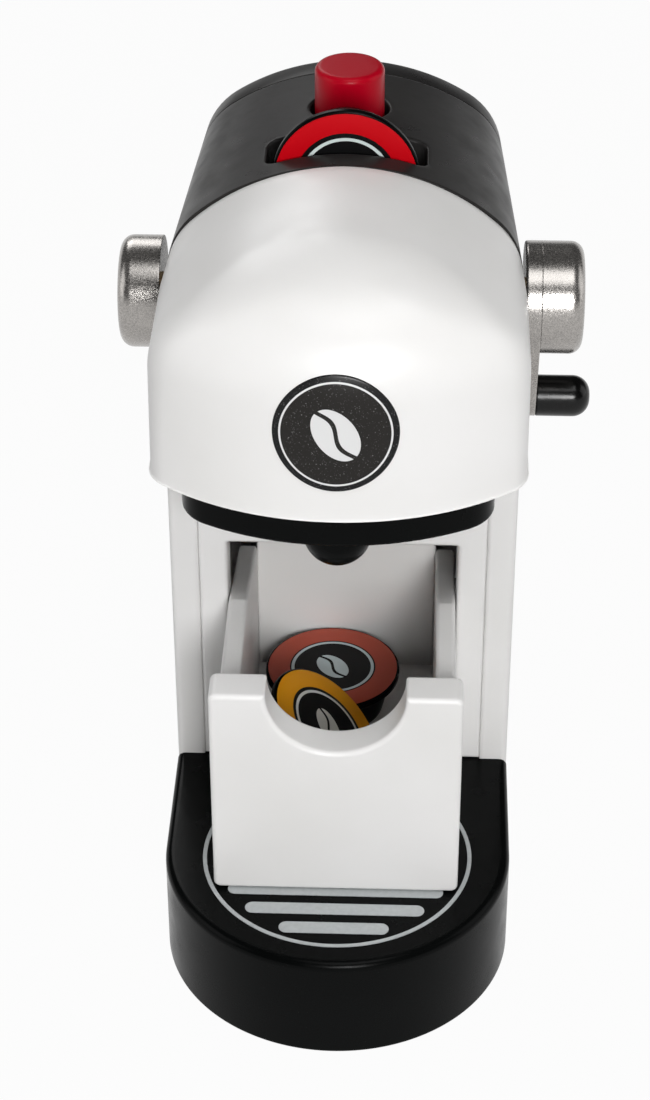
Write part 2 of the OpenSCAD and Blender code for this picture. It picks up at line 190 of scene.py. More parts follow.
CORNER_STEPS, BOW_STEPS = 10, 36              # steps of a crowned outline's corner arcs and of its bow
SECTION_BOW, SECTION_CORNER = 68.0, 24.0      # radii of the head's crown and shoulders, seen from the front


def crowned(half, apex, bow, corner, foot, sides):
    """Outline of straight sides, corner arcs and a bowed top, right foot to left foot.

    half, apex, bow and corner may be arrays: one outline per value, all with the same number of
    points. The corner arcs touch the sides at x = half and the bow of radius bow from inside.
    sides holds the heights of the points on the straight sides: fractions of the side, or
    millimetres where one of them is over 2.
    """
    half, apex, bow, corner, foot = np.broadcast_arrays(*map(np.atleast_1d, (half, apex, bow, corner, foot)))
    half, apex, bow, corner, foot = (v[:, None].astype(float) for v in (half, apex, bow, corner, foot))
    cx = half - corner
    rise = np.sqrt(np.maximum((bow - corner) ** 2 - cx ** 2, 1e-9))
    cy = apex - bow + rise
    lean = np.arctan2(cx, rise)
    sides = np.asarray(sides, float)[None]
    side_y = sides if np.max(sides) > 2 else foot + (cy - foot) * sides
    side_y = np.broadcast_to(side_y, (len(half), sides.shape[1]))
    side_x = np.broadcast_to(half, side_y.shape)
    a = (math.pi / 2 - lean) * np.linspace(0, 1, CORNER_STEPS + 1)[None]
    corner_x, corner_y = cx + corner * np.cos(a), cy + corner * np.sin(a)
    b = lean * np.linspace(1, -1, BOW_STEPS + 1)[None, 1:-1]
    bow_x, bow_y = bow * np.sin(b), apex - bow + bow * np.cos(b)
    x = np.concatenate([side_x, corner_x, bow_x, -corner_x[:, ::-1], -side_x[:, ::-1]], 1)
    y = np.concatenate([side_y, corner_y, bow_y, corner_y[:, ::-1], side_y[:, ::-1]], 1)
    return np.stack([x, y], 2)


# ---------- meshes ----------


class Mould:
    """Gathers grids of points in millimetres and their faces until they are cast as one mesh."""

    def __init__(self):
        self.points, self.faces, self.count = [], [], 0

    def add(self, points):
        """Takes in points and returns their numbers."""
        points = np.asarray(points, float).reshape(-1, 3)
        self.points.append(points)
        self.count += len(points)
        return np.arange(self.count - len(points), self.count)

    def grid(self, points, wrap=False):
        """Quads over a grid of points; wrap also joins the last column to the first."""
        rows, cols = points.shape[:2]
        i = self.add(points).reshape(rows, cols)
        if wrap:
            i = np.concatenate([i, i[:, :1]], 1)
        self.quads(i)
        return i

    def quads(self, i, skip=None):
        """Quads over a grid of point numbers, save where skip is true."""
        quad = np.stack([i[:-1, :-1], i[:-1, 1:], i[1:, 1:], i[1:, :-1]], 2)
        keep = np.ones(quad.shape[:2], bool) if skip is None else ~skip
        self.faces += quad[keep].tolist()

    def strip(self, a, b):
        """Quads between two rows of point numbers."""
        self.quads(np.stack([a, b]))

    def band(self, a, b):
        """Quads between two closed loops of point numbers."""
        self.strip(np.append(a, a[0]), np.append(b, b[0]))

    def rings(self, loops):
        """Quads between closed loops of points, each joined to the next."""
        return self.grid(np.stack(loops), wrap=True)[:, :-1]

    def cap(self, row):
        """One face within a loop of point numbers."""
        self.faces.append(list(row))

    def caps(self, i):
        """Closes both ends of a tube."""
        self.cap(i[0])
        self.cap(i[-1])

    def flat(self, loops):
        """Flat face within the first loop of point numbers and outside the others."""
        points = np.concatenate(self.points)
        order = np.concatenate(loops)
        for a, b, c in tessellate_polygon([[Vector(points[n]) for n in loop] for loop in loops]):
            self.faces.append([order[a], order[b], order[c]])

    def cast(self, name, body, key, *nodes):
        """Closes the mesh, points its faces outwards, gives it its finish and hands it to its body."""
        mesh = bpy.data.meshes.new(name)
        mesh.from_pydata((np.concatenate(self.points) * MM).tolist(), [], self.faces)
        work = bmesh.new()
        work.from_mesh(mesh)
        bmesh.ops.remove_doubles(work, verts=work.verts, dist=2e-6)
        bmesh.ops.dissolve_degenerate(work, edges=work.edges, dist=1e-6)
        bmesh.ops.recalc_face_normals(work, faces=work.faces)
        work.to_mesh(mesh)
        work.free()
        mesh.polygons.foreach_set("use_smooth", np.ones(len(mesh.polygons), bool))
        mesh.set_sharp_from_angle(angle=math.radians(50))
        piece = bpy.data.objects.new(name, mesh)
        bpy.context.scene.collection.objects.link(piece)
        mesh.materials.append(finish(key))
        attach(piece, body)
        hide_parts(*nodes)
        return piece


def edge_profile(faces, edges, steps, guard=0.4):
    """Inset and height down the edge of a board: a quarter circle at each face and a straight side.

    The inset is r minus r times the cosine and the height r times the sine of the same angle.
    The first and last rows lie on the faces, just inside the arcs.
    """
    (t0, t1), (r0, r1) = faces, edges
    a = np.linspace(math.pi / 2, 0, steps + 1)
    foot = np.stack([r0 - r0 * np.cos(a), t0 + r0 - r0 * np.sin(a)], 1)
    head = np.stack([r1 - r1 * np.cos(a[::-1]), t1 - r1 + r1 * np.sin(a[::-1])], 1)
    mid = np.array([[0, t0 + r0 + guard], [0, t1 - r1 - guard]])
    mid = mid if t1 - t0 - r0 - r1 > 3 * guard else mid[:0]
    return np.concatenate([[[r0 + guard, t0]], foot, mid, head, [[r1 + guard, t1]]])


PLANES = {  # where an outline and its height above the plane lie
    "XY": lambda u, v, t: (u, v, t),
    "XZ": lambda u, v, t: (u, t, v),
    "YZ": lambda u, v, t: (t, u, v),
}


def at_height(flat, t, plane="XY"):
    """Flat points carried to the height t above a plane."""
    return np.stack(PLANES[plane](flat[:, 0], flat[:, 1], np.full(len(flat), t)), 1)


def board(mould, corners, radii, faces, edges, plane="XY", shift=None, steps=5, arc=6, bend=None):
    """Board with rounded edges: its outline is drawn anew for each inset of the edge profile.

    faces holds the heights of its two faces over the plane, edges the rounding at each and radii
    those of its corners. The corners move in along their mitres by the inset. The radius of an outer
    corner shrinks by the inset, down to a sharp mitre, and that of an inner corner grows by it. Where
    shift is given, the corners are the whole outline and move by it instead. bend moves the finished
    points.
    """
    corners = np.asarray(corners, float)
    rows = edge_profile(faces, edges, steps)
    if shift is None:
        shift = inward(corners)
        edge = np.roll(corners, -1, 0) - corners
        before = np.roll(edge, 1, 0)
        outer = before[:, 0] * edge[:, 1] - before[:, 1] * edge[:, 0] > 0
        radii = np.broadcast_to(np.asarray(radii, float), len(corners))
        uv = np.stack([rounded_outline(
            corners + d * shift,
            np.where(radii == 0, 0, np.where(outer, np.maximum(radii - d, 0.001), radii + d)), arc)
            for d in rows[:, 0]])
    else:
        uv = corners[None] + rows[:, :1, None] * shift[None]
    t = np.broadcast_to(rows[:, 1:2], uv.shape[:2])
    points = np.stack(PLANES[plane](uv[..., 0], uv[..., 1], t), 2)
    if bend:
        points = bend(points)
    mould.caps(mould.grid(points, wrap=True)[:, :-1])


def plank(name, body, key, node, *shape, **more):
    """One board as a piece of its own; shape and more are what board takes."""
    mould = Mould()
    board(mould, *shape, **more)
    return mould.cast(name, body, key, node)


def rectangle(u0, v0, u1, v1):
    """Corners of a rectangle, anticlockwise from its lowest one."""
    return [[u0, v0], [u1, v0], [u1, v1], [u0, v1]]


def turned(mould, profile, centre, axis="Z", segments=128):
    """Surface of revolution: radius times cosine and sine of the angle, carried along the axis."""
    profile = np.asarray(profile, float)
    a = np.linspace(0, 2 * math.pi, segments, endpoint=False)[None]
    r, h = profile[:, :1], np.broadcast_to(profile[:, 1:], (len(profile), segments))
    u, v = r * np.cos(a), r * np.sin(a)
    points = {"Z": (u, v, h), "X": (h, u, v)}[axis]
    mould.grid(np.stack(points, 2) + np.asarray(centre, float), wrap=True)


def peg(name, body, key, node, profile, centre, axis="Z"):
    """One turned part as a piece of its own."""
    mould = Mould()
    turned(mould, profile, centre, axis)
    return mould.cast(name, body, key, node)


def lay_print(piece, turn, move, radius):
    """UV map of a print: its own plane, with the middle at 0.5 and the edge 0.5 away."""
    mesh = piece.data
    points = np.zeros(len(mesh.vertices) * 3, np.float32)
    mesh.vertices.foreach_get("co", points)
    flat = (points.reshape(-1, 3) / MM - move) @ turn
    loops = np.zeros(len(mesh.loops), np.int32)
    mesh.loops.foreach_get("vertex_index", loops)
    uv = mesh.uv_layers.new(name="print")
    uv.data.foreach_set("uv", (flat[loops, :2] / (2 * radius) + 0.5).astype(np.float32).ravel())


FACE_RISE = 0.001                             # a turned face rises by this much to its middle


def rounded_profile(corners, radii, steps):
    """Open profile with rounded inner corners: the arcs of a closed outline between its two ends."""
    return rounded_outline(corners, [0] + radii + [0], steps, guard=0.3)


# ---------- finishes ----------


def colour(code):
    """Linear colour of an sRGB hex value."""
    parts = [int(code[i:i + 2], 16) / 255 for i in (1, 3, 5)]
    return tuple(c / 12.92 if c <= 0.04045 else ((c + 0.055) / 1.055) ** 2.4 for c in parts) + (1.0,)


def put(tree, kind, inputs=None, stops=(), **settings):
    """Adds a shader node with its settings, links or fills its inputs and colours its ramp's stops."""
    node = tree.nodes.new("ShaderNode" + kind)
    for key, value in settings.items():
        setattr(node, key, value)
    for key, value in (inputs or {}).items():
        if isinstance(value, bpy.types.NodeSocket):
            tree.links.new(value, node.inputs[key])
        else:
            node.inputs[key].default_value = value
    if stops:
        ramp = node.color_ramp.elements
        while len(ramp) < len(stops):
            ramp.new(0.9)
        for element, (place, code) in zip(ramp, stops):
            element.position, element.color = place, colour(code)
    return node


def per_mm(size):
    """Scale of a noise whose grains are size millimetres across, on Object coordinates in metres."""
    return 1000.0 / size


def start_finish(name, **sockets):
    """A new material with its shader's sockets set, and the Object coordinates to draw patterns on."""
    material = bpy.data.materials.new(name)
    material.use_nodes = True
    tree = material.node_tree
    shader = tree.nodes["Principled BSDF"]
    for key, value in sockets.items():
        shader.inputs[key.replace("_", " ")].default_value = value
    place = put(tree, "TexCoord").outputs["Object"]
    return material, tree, shader, place


def dress(tree, shader, **outputs):
    """Links outputs to the shader's sockets of the same names."""
    for key, output in outputs.items():
        tree.links.new(output, shader.inputs[key.replace("_", " ")])


def lacquer(name, main, shade, roughness, peel_mm, peel, level=0.5):
    """Sprayed lacquer on a sanded board: even colour, a faint orange peel, gloss that varies a little.

    The colour drifts between main and shade over patches of 60 mm, the peel is a noise of peel_mm in
    the bump, and a 9 mm noise moves the roughness by wear either way. level is the shader's share of
    the reflection that its IOR gives, lower for thin matting paints.
    """
    wear = 0.06
    material, tree, shader, place = start_finish(name, IOR=1.5, Metallic=0.0, Specular_IOR_Level=level)
    broad = put(tree, "TexNoise", {"Vector": place, "Scale": per_mm(60), "Detail": 3.0})
    mid = put(tree, "TexNoise", {"Vector": place, "Scale": per_mm(9), "Detail": 5.0})
    fine = put(tree, "TexNoise", {"Vector": place, "Scale": per_mm(peel_mm), "Detail": 2.0})
    tint = put(tree, "ValToRGB", {"Fac": broad.outputs["Fac"]}, [(0.35, shade), (0.65, main)])
    gloss = put(tree, "MapRange", {"Value": mid.outputs["Fac"], "From Min": 0.3, "From Max": 0.7,
                                   "To Min": roughness - wear, "To Max": roughness + wear})
    bump = put(tree, "Bump", {"Height": fine.outputs["Fac"], "Strength": peel, "Distance": 0.0002})
    dress(tree, shader, Base_Color=tint.outputs["Color"], Roughness=gloss.outputs["Result"],
          Normal=bump.outputs["Normal"])
    return material


def silver_paint(name, main, shade):
    """Aluminium-flake paint on turned wood: mostly metallic, with fine bright and dark grains.

    Real flakes are under 0.1 mm; they are drawn 0.5 mm across so that they show.
    """
    material, tree, shader, place = start_finish(name, Metallic=0.92)
    flake = put(tree, "TexNoise", {"Vector": place, "Scale": per_mm(0.5), "Detail": 3.0, "Roughness": 0.7})
    broad = put(tree, "TexNoise", {"Vector": place, "Scale": per_mm(8), "Detail": 3.0})
    both = put(tree, "Mix", {"Factor": 0.15, 2: flake.outputs["Fac"], 3: broad.outputs["Fac"]})
    tint = put(tree, "ValToRGB", {"Fac": both.outputs[0]}, [(0.36, shade), (0.64, main)])
    gloss = put(tree, "MapRange", {"Value": flake.outputs["Fac"], "From Min": 0.3, "From Max": 0.7,
                                   "To Min": 0.18, "To Max": 0.34})
    bump = put(tree, "Bump", {"Height": flake.outputs["Fac"], "Strength": 0.16, "Distance": 0.0002})
    dress(tree, shader, Base_Color=tint.outputs["Color"], Roughness=gloss.outputs["Result"],
          Normal=bump.outputs["Normal"])
    return material


def beech(name, main, shade):
    """Untreated beech: pale, matte, with close straight grain along Y and short darker flecks.

    Growth rings are about 2 mm apart and run on for 40 mm, and the flecks are 0.4 by 3 mm.
    """
    material, tree, shader, place = start_finish(name, Roughness=0.7, IOR=1.45)
    rings = put(tree, "Mapping", {"Vector": place, "Scale": (per_mm(2), per_mm(40), per_mm(2))})
    flecks = put(tree, "Mapping", {"Vector": place, "Scale": (per_mm(0.4), per_mm(3.03), per_mm(0.4))})
    ring = put(tree, "TexNoise", {"Vector": rings.outputs[0], "Scale": 1.0, "Detail": 4.0})
    fleck = put(tree, "TexNoise", {"Vector": flecks.outputs[0], "Scale": 1.0, "Detail": 2.0})
    both = put(tree, "Mix", {"Factor": 0.4, 2: ring.outputs["Fac"], 3: fleck.outputs["Fac"]})
    tint = put(tree, "ValToRGB", {"Fac": both.outputs[0]}, [(0.35, shade), (0.65, main)])
    bump = put(tree, "Bump", {"Height": both.outputs[0], "Strength": 0.25, "Distance": 0.0003})
    dress(tree, shader, Base_Color=tint.outputs["Color"], Normal=bump.outputs["Normal"])
    return material


def zinc_steel(name):
    """Zinc-plated steel of screws and springs: grey, bright, with a fine drawn grain."""
    material, tree, shader, place = start_finish(name, Metallic=1.0)
    shader.inputs["Base Color"].default_value = colour("#B4B6B8")
    grain = put(tree, "TexNoise", {"Vector": place, "Scale": per_mm(0.8), "Detail": 4.0})
    gloss = put(tree, "MapRange", {"Value": grain.outputs["Fac"], "To Min": 0.24, "To Max": 0.42})
    dress(tree, shader, Roughness=gloss.outputs["Result"])
    return material


def screen_print(name, main):
    """Opaque screen-print ink: one matte coat, slightly uneven in colour."""
    material, tree, shader, place = start_finish(name, Roughness=0.5, IOR=1.5)
    mottle = put(tree, "TexNoise", {"Vector": place, "Scale": per_mm(1.5), "Detail": 4.0})
    value = put(tree, "MapRange", {"Value": mottle.outputs["Fac"], "From Min": 0.3, "From Max": 0.7,
                                   "To Min": 0.93, "To Max": 1.05})
    tint = put(tree, "HueSaturation", {"Value": value.outputs["Result"], "Color": colour(main)})
    dress(tree, shader, Base_Color=tint.outputs["Color"])
    return material


def bean_mask(tree, place, length, width):
    """One inside a coffee bean, nought outside and along its cleft; place is centred on the bean.

    The bean is an ellipse leaning by 35 degrees. The cleft is the band |x - 0.14 sin(3.6 y)| < 0.075
    in units of half its length.
    """
    leaning = put(tree, "Mapping", {"Vector": place, "Rotation": (0.0, 0.0, math.radians(-35)),
                                    "Scale": (2 / length, 2 / length, 2 / length)})
    axes = put(tree, "SeparateXYZ", {"Vector": leaning.outputs[0]})
    x, y = axes.outputs["X"], axes.outputs["Y"]
    across = put(tree, "Math", {0: x, 1: length / width}, operation="MULTIPLY").outputs[0]
    square_x = put(tree, "Math", {0: across, 1: across}, operation="MULTIPLY").outputs[0]
    squares = put(tree, "Math", {0: y, 1: y, 2: square_x}, operation="MULTIPLY_ADD").outputs[0]
    inside = put(tree, "Math", {0: squares, 1: 1.0}, operation="LESS_THAN").outputs[0]
    phase = put(tree, "Math", {0: y, 1: 3.6}, operation="MULTIPLY").outputs[0]
    wave = put(tree, "Math", {0: phase}, operation="SINE").outputs[0]
    off_wave = put(tree, "Math", {0: wave, 1: -0.14, 2: x}, operation="MULTIPLY_ADD").outputs[0]
    distance = put(tree, "Math", {0: off_wave}, operation="ABSOLUTE").outputs[0]
    beside = put(tree, "Math", {0: distance, 1: 0.075}, operation="GREATER_THAN").outputs[0]
    return put(tree, "Math", {0: inside, 1: beside}, operation="MULTIPLY").outputs[0]


def rings_and_bean(tree, bands, length, width):
    """Colour of a round print in rings, and the mask of the bean in its middle.

    It reads the print's own UV map, in which the middle is at 0.5, 0.5 and the edge 0.5 away. bands
    says at which radius each colour starts.
    """
    uv = put(tree, "UVMap", uv_map="print")
    centred = put(tree, "VectorMath", {0: uv.outputs["UV"], 1: (0.5, 0.5, 0.0)}, operation="SUBTRACT")
    radius = put(tree, "VectorMath", {0: centred.outputs[0]}, operation="LENGTH")
    ramp = put(tree, "ValToRGB", {"Fac": radius.outputs["Value"]}, bands)
    ramp.color_ramp.interpolation = "CONSTANT"
    return ramp.outputs["Color"], bean_mask(tree, centred.outputs[0], length, width)


def ringed_label(name, main, ring, line):
    """Printed paper label: coloured rim, black line out to line, light ring, black middle with a bean."""
    black = "#0B0B0C"
    material, tree, shader, _ = start_finish(name, Roughness=0.42, IOR=1.5, Specular_IOR_Level=0.1)
    bands = [(0.0, black), (0.294, ring), (0.318, black), (line, main)]
    rings, bean = rings_and_bean(tree, bands, 0.32, 0.21)
    printed = put(tree, "Mix", {0: bean, 6: rings, 7: colour(ring)}, data_type="RGBA")
    dress(tree, shader, Base_Color=printed.outputs[2])
    return material


def glossy_sticker(name, main, ring):
    """Vinyl sticker: near black and glossy, with a thin light ring, fine specks and a printed bean.

    The specks are the grains of a 0.35 mm noise above 0.66.
    """
    material, tree, shader, place = start_finish(name, Roughness=0.30, IOR=1.5, Specular_IOR_Level=0.2)
    rings, bean = rings_and_bean(tree, [(0.0, "#1E1C1A"), (0.430, ring), (0.449, main)], 0.50, 0.33)
    grain = put(tree, "TexNoise", {"Vector": place, "Scale": per_mm(0.35), "Detail": 2.0})
    speck = put(tree, "MapRange", {"Value": grain.outputs["Fac"], "From Min": 0.66, "From Max": 0.74,
                                   "To Min": 0.0, "To Max": 0.35})
    marks = put(tree, "Math", {0: bean, 1: speck.outputs["Result"]}, operation="MAXIMUM")
    printed = put(tree, "Mix", {0: marks.outputs[0], 6: rings, 7: colour(ring)}, data_type="RGBA")
    dress(tree, shader, Base_Color=printed.outputs[2])
    return material


FINISHES = {  # the record's material slot, and the material made from the colours that a user may change
    "white": ("white_lacquer", lambda c: lacquer(
        "white_satin_lacquer", c.white, "#E0DFDD", 0.36, 1.4, 0.10)),
    "black": ("black_lacquer", lambda c: lacquer(
        "black_semi_gloss_lacquer", c.black, "#050606", 0.24, 1.2, 0.04, level=0.05)),
    "hood": ("black_lacquer", lambda c: lacquer(
        "black_satin_lacquer", c.hood, "#2B2A29", 0.32, 0.9, 0.03, level=0.07)),
    "handle": ("black_lacquer", lambda c: lacquer(
        "black_gloss_lacquer", "#070707", "#050505", 0.26, 1.0, 0.12, level=0.25)),
    "red": ("red_lacquer", lambda c: lacquer(
        "red_lacquer", c.red, "#A00018", 0.34, 1.2, 0.10, level=0.12)),
    "silver": ("silver_paint", lambda c: silver_paint("silver_flake_paint", c.silver, "#8E8B88")),
    "beech": ("bare_wood", lambda c: beech("bare_beech", "#DCC39C", "#C4A478")),
    "steel": ("steel", lambda c: zinc_steel("zinc_plated_steel")),
    "tray": ("grey_print", lambda c: screen_print("grey_screen_print", c.print_grey)),
    "label_red": ("red_print", lambda c: ringed_label("red_label_print", "#BC000F", "#CDD8D6", 0.352)),
    "label_brown": ("brown_print", lambda c: ringed_label("brown_label_print", "#BE5846", "#C6D2D4", 0.329)),
    "label_amber": ("amber_print", lambda c: ringed_label("amber_label_print", "#E89C16", "#DCDCD6", 0.346)),
    "badge": ("black_print", lambda c: glossy_sticker("black_vinyl_sticker", "#101011", "#D8D8D8")),
}
MADE = {}                                     # finishes made so far


def finish(key):
    """The material of a finish, made the first time it is asked for."""
    if key not in MADE:
        MADE[key] = FINISHES[key][1](bpy.context.scene.machine_colours)
    return MADE[key]


# ---------- what a user may change ----------


class MachineSizes(bpy.types.PropertyGroup):
    """Roundings that a user may change"""
    board_edge: bpy.props.FloatProperty(
        name="Board edge", description="Rounding of the edges of the white boards",
        default=1.3 * MM, min=0.2 * MM, max=3 * MM, unit="LENGTH")
    seam_edge: bpy.props.FloatProperty(
        name="Seam edge", description="Rounding of the edges that meet at a glued seam",
        default=0.5 * MM, min=0.1 * MM, max=1.5 * MM, unit="LENGTH")
    drawer_edge: bpy.props.FloatProperty(
        name="Drawer edge", description="Rounding of the edges of the drawer front",
        default=1.5 * MM, min=0.5 * MM, max=4 * MM, unit="LENGTH")
    slot_edge: bpy.props.FloatProperty(
        name="Slot edge", description="Rounding of the rims of the slot and the button hole",
        default=1.0 * MM, min=0.2 * MM, max=2 * MM, unit="LENGTH")


class MachineColours(bpy.types.PropertyGroup):
    """Colours that a user may change"""
    white: bpy.props.StringProperty(
        name="White", description="White lacquer, sRGB hex", default="#E6E5E4")
    black: bpy.props.StringProperty(
        name="Black", description="Black lacquer of the base, sRGB hex", default="#080909")
    hood: bpy.props.StringProperty(
        name="Hood", description="Satin black of the hood, sRGB hex", default="#232222")
    silver: bpy.props.StringProperty(
        name="Silver", description="Silver paint, sRGB hex", default="#B4B0AC")
    red: bpy.props.StringProperty(
        name="Red", description="Red lacquer of the button, sRGB hex", default="#B0001C")
    print_grey: bpy.props.StringProperty(
        name="Print", description="Drip tray print, sRGB hex", default="#A9ADAE")


def rounding(name):
    """One of the rounding radii, in millimetres."""
    return getattr(bpy.context.scene.machine_sizes, name) / MM


# ---------- base and tower ----------

RING_W = 1.25                                 # the printed drip tray: its ring and its bars
BAR_W, BAR_PITCH, BAR_COUNT = 4.8, 8.4, 9
BAR_CIRCLE, BAR_GAP = 2.5, 2.0                # the bars stop 2 short of a circle that is 2.5 inside the rim
DOOR_HALF, DOOR_Z = 36.0, 120.0               # half width and top of the doorway


class MACHINE_OT_base(bpy.types.Operator):
    """Base board with a round front and a rounded top edge, and the print on it"""
    bl_idname = "machine.base"
    bl_label = "Base"

    def execute(self, context):
        inner, back = HALF_W - PANEL_T, side_half(BACK_Y) - PANEL_T
        arc_y = low("base_block")[1] + HALF_W
        front = np.concatenate([
            [[-HALF_W, FRONT_Y], [-HALF_W, FRONT_Y - 1], [-HALF_W, arc_y + 1]],
            arc_points((0, arc_y), HALF_W, 180, 360, 96),
            [[HALF_W, arc_y + 1], [HALF_W, FRONT_Y - 1], [HALF_W, FRONT_Y]]])
        rear = np.array([[inner, FRONT_Y], [back, BACK_Y], [-back, BACK_Y], [-inner, FRONT_Y]])
        shift = np.concatenate([inward(front, closed=False), np.zeros((len(rear), 2))])
        plank("round_front_base", "housing", "black", "base_block",
              np.concatenate([front, rear]), 0, faces=(0, BASE_Z), edges=(1.0, 2.6), shift=shift, steps=8)

        lo, hi = low("drip_tray_print"), high("drip_tray_print")
        radius, centre = (hi[0] - lo[0]) / 2, middle("drip_tray_print")[:2]
        section = [(radius, lo[2]), (radius, hi[2]), (radius - RING_W, hi[2]), (radius - RING_W, lo[2])]
        ink = Mould()
        ink.rings([at_height(circle(centre, r, 180), z) for r, z in section + section[:1]])
        for across in BAR_PITCH * (np.arange(BAR_COUNT) - BAR_COUNT // 2):
            # A bar is two half circles joined by straight sides; the circle bounds it by Pythagoras.
            bound = math.sqrt((radius - BAR_CIRCLE) ** 2 - (abs(across) + BAR_W / 4) ** 2)
            reach = bound - BAR_GAP - BAR_W / 2
            outline = np.concatenate([arc_points(centre + [reach, across], BAR_W / 2, -90, 90, 16),
                                      arc_points(centre + [-reach, across], BAR_W / 2, 90, 270, 16)])
            ink.caps(ink.rings([at_height(outline, z) for z in (lo[2], hi[2])]))
        ink.cast("ring_and_bars", "housing", "tray", "drip_tray_print")
        return {"FINISHED"}


class MACHINE_OT_tower(bpy.types.Operator):
    """White side boards, the board with the doorway, and the back board"""
    bl_idname = "machine.tower"
    bl_label = "Tower"

    def execute(self, context):
        edge = rounding("board_edge")
        inner, back = HALF_W - PANEL_T, side_half(BACK_Y)
        plan = np.array([[inner, FRONT_Y], [HALF_W, FRONT_Y], [back, BACK_Y], [back - PANEL_T, BACK_Y]])
        radii = [edge, 2.0, 1.5, edge]
        for side, word in ((1, "right"), (-1, "left")):
            plank(f"{word}_side_board", "housing", "white", f"side_panel_{word}",
                  (plan * [side, 1])[::side], radii[::side], faces=(0, HEAD_Z), edges=(0.5, 0.3))

        def close_in(points):
            """Narrows a board between the side boards, which close in to the back."""
            points = points.copy()
            points[..., 0] *= (side_half(points[..., 1]) - PANEL_T) / inner
            return points

        corners = [[-inner, BASE_Z], [-DOOR_HALF, BASE_Z], [-DOOR_HALF, DOOR_Z], [DOOR_HALF, DOOR_Z],
                   [DOOR_HALF, BASE_Z], [inner, BASE_Z], [inner, HEAD_Z], [-inner, HEAD_Z]]
        plank("doorway_board", "housing", "white", "front_frame",
              corners, [0.2, 0.3, 0.8, 0.8, 0.3, 0.2, 0.2, 0.2],
              faces=(FRONT_Y, FRONT_Y + PANEL_T), edges=(edge, edge), plane="XZ", bend=close_in)

        lo, hi = low("tower_back"), high("tower_back")
        plank("back_board", "housing", "white", "tower_back",
              rectangle(-inner, lo[2], inner, hi[2]), 0.4,
              faces=(lo[1], hi[1]), edges=(0.6, 0.6), plane="XZ", bend=close_in)
        return {"FINISHED"}


# ---------- head ----------

HEAD_REACH_Y = -70.0                          # lower front edge of the head
FRONT_LEAN = math.radians(3.9)
FRONT_BOW, FRONT_CORNER = 80.0, 12.0
BROW_Z, BROW_DEPTH, BROW_POWER = 207.0, 41.0, 2.2
CORNER_SPREAD = 7.0                           # how much rounder the front corners get up to the crown
FRONT_WALL, HOOD_WALL = 10.0, 9.0
RIM_EDGE, RIM_STEPS = 0.5, 4                  # rounding of the rim under the front half
CLOSE_ROWS_Z = 196.0                          # from here up the rows of the front get closer together
SHOULDER_Z = 202.5                            # the straight sides of the hood are drawn up to here
SLOT_HALF_W, SLOT_HALF_D, SLOT_CORNER = 23.75, 9.0, 3.5
BUTTON_HOLE_R, BORE_R = 12.15, 6.05
SIDE_FRACTIONS = [0.0, 0.01, 0.25, 0.5, 0.75, 0.99]
SCREWS = [(43.5, 184.0), (-43.5, 184.0), (22.0, 226.4), (-22.0, 226.4)]


def section_half(z, inset):
    """Half width of the head's section at a height: straight side, shoulder arc, then crown arc."""
    half, apex = HALF_W - inset, CROWN_Z - inset
    bow, corner = SECTION_BOW - inset, SECTION_CORNER - inset
    cx = half - corner
    rise = math.sqrt((bow - corner) ** 2 - cx ** 2)
    cy = apex - bow + rise
    join = cy + corner * rise / (bow - corner)
    shoulder = cx + np.sqrt(np.maximum(corner ** 2 - np.clip(z - cy, 0, corner) ** 2, 0))
    crown = np.sqrt(np.maximum(bow ** 2 - (z - apex + bow) ** 2, 0))
    return np.where(z <= cy, half, np.where(z <= join, shoulder, crown))


def front_y(z, inset=0.0):
    """Depth of the front at a height: it leans back, then follows a quarter superellipse above the brow.

    Its power is a little over two, so that the curvature starts from nought and no line shows there.
    """
    rise = np.clip((z - (BROW_Z - inset)) / (CROWN_Z - BROW_Z), 0, 1)
    brow = BROW_DEPTH * (1 - (1 - rise ** BROW_POWER) ** (1 / BROW_POWER))
    return HEAD_REACH_Y + (z - HEAD_Z) * math.tan(FRONT_LEAN) + brow + inset


def head_plans(z, inset):
    """Plans of the front half at heights z: rows of points from the right seam round to the left one.

    Each is a crowned outline whose width follows the section and whose front follows front_y. Its
    corners get rounder by three times the square of the height's share less twice its cube.
    """
    front = front_y(z, inset)
    half = np.maximum(section_half(z, inset), 1e-3)
    share = np.clip((z - HEAD_Z) / (CROWN_Z - inset - HEAD_Z), 0, 1)
    spread = CORNER_SPREAD * share * share * (3 - 2 * share)
    corner = np.minimum(FRONT_CORNER + spread - inset / 2, half * 0.8)
    sides = [0, 0.02, 0.1, 0.25, 0.4, 0.55, 0.7, 0.85, 0.97]
    plan = crowned(half, -front, FRONT_BOW - inset, corner, -FRONT_Y, sides)
    narrow = HALF_W - side_half(SEAM_Y)
    steps = np.linspace(0, 1, 7)[:-1]
    seam = np.stack([half[:, None] - narrow * (1 - steps),
                     np.broadcast_to(-SEAM_Y + (SEAM_Y - FRONT_Y) * steps, (len(z), len(steps)))], 2)
    seam[..., 0] = np.maximum(seam[..., 0], 0)
    plan = np.concatenate([seam, plan, seam[:, ::-1] * [-1, 1]], 1)
    return np.stack([plan[..., 0], -plan[..., 1], np.broadcast_to(z[:, None], plan.shape[:2])], 2)


def rim_rows(row):
    """Rows that turn a bottom rim inwards: the plan's inward shift times r - r cos, dropping r sin."""
    a = np.linspace(math.pi / 2, 0, RIM_STEPS + 1)[:, None, None]
    shift = inward(row[:, :2], closed=False)
    shift[[0, -1], 1] = 0
    xy = row[None, :, :2] + (RIM_EDGE - RIM_EDGE * np.cos(a)) * shift[None]
    z = row[None, :, 2:] - RIM_EDGE * np.sin(a)
    return np.concatenate([xy, z], 2)


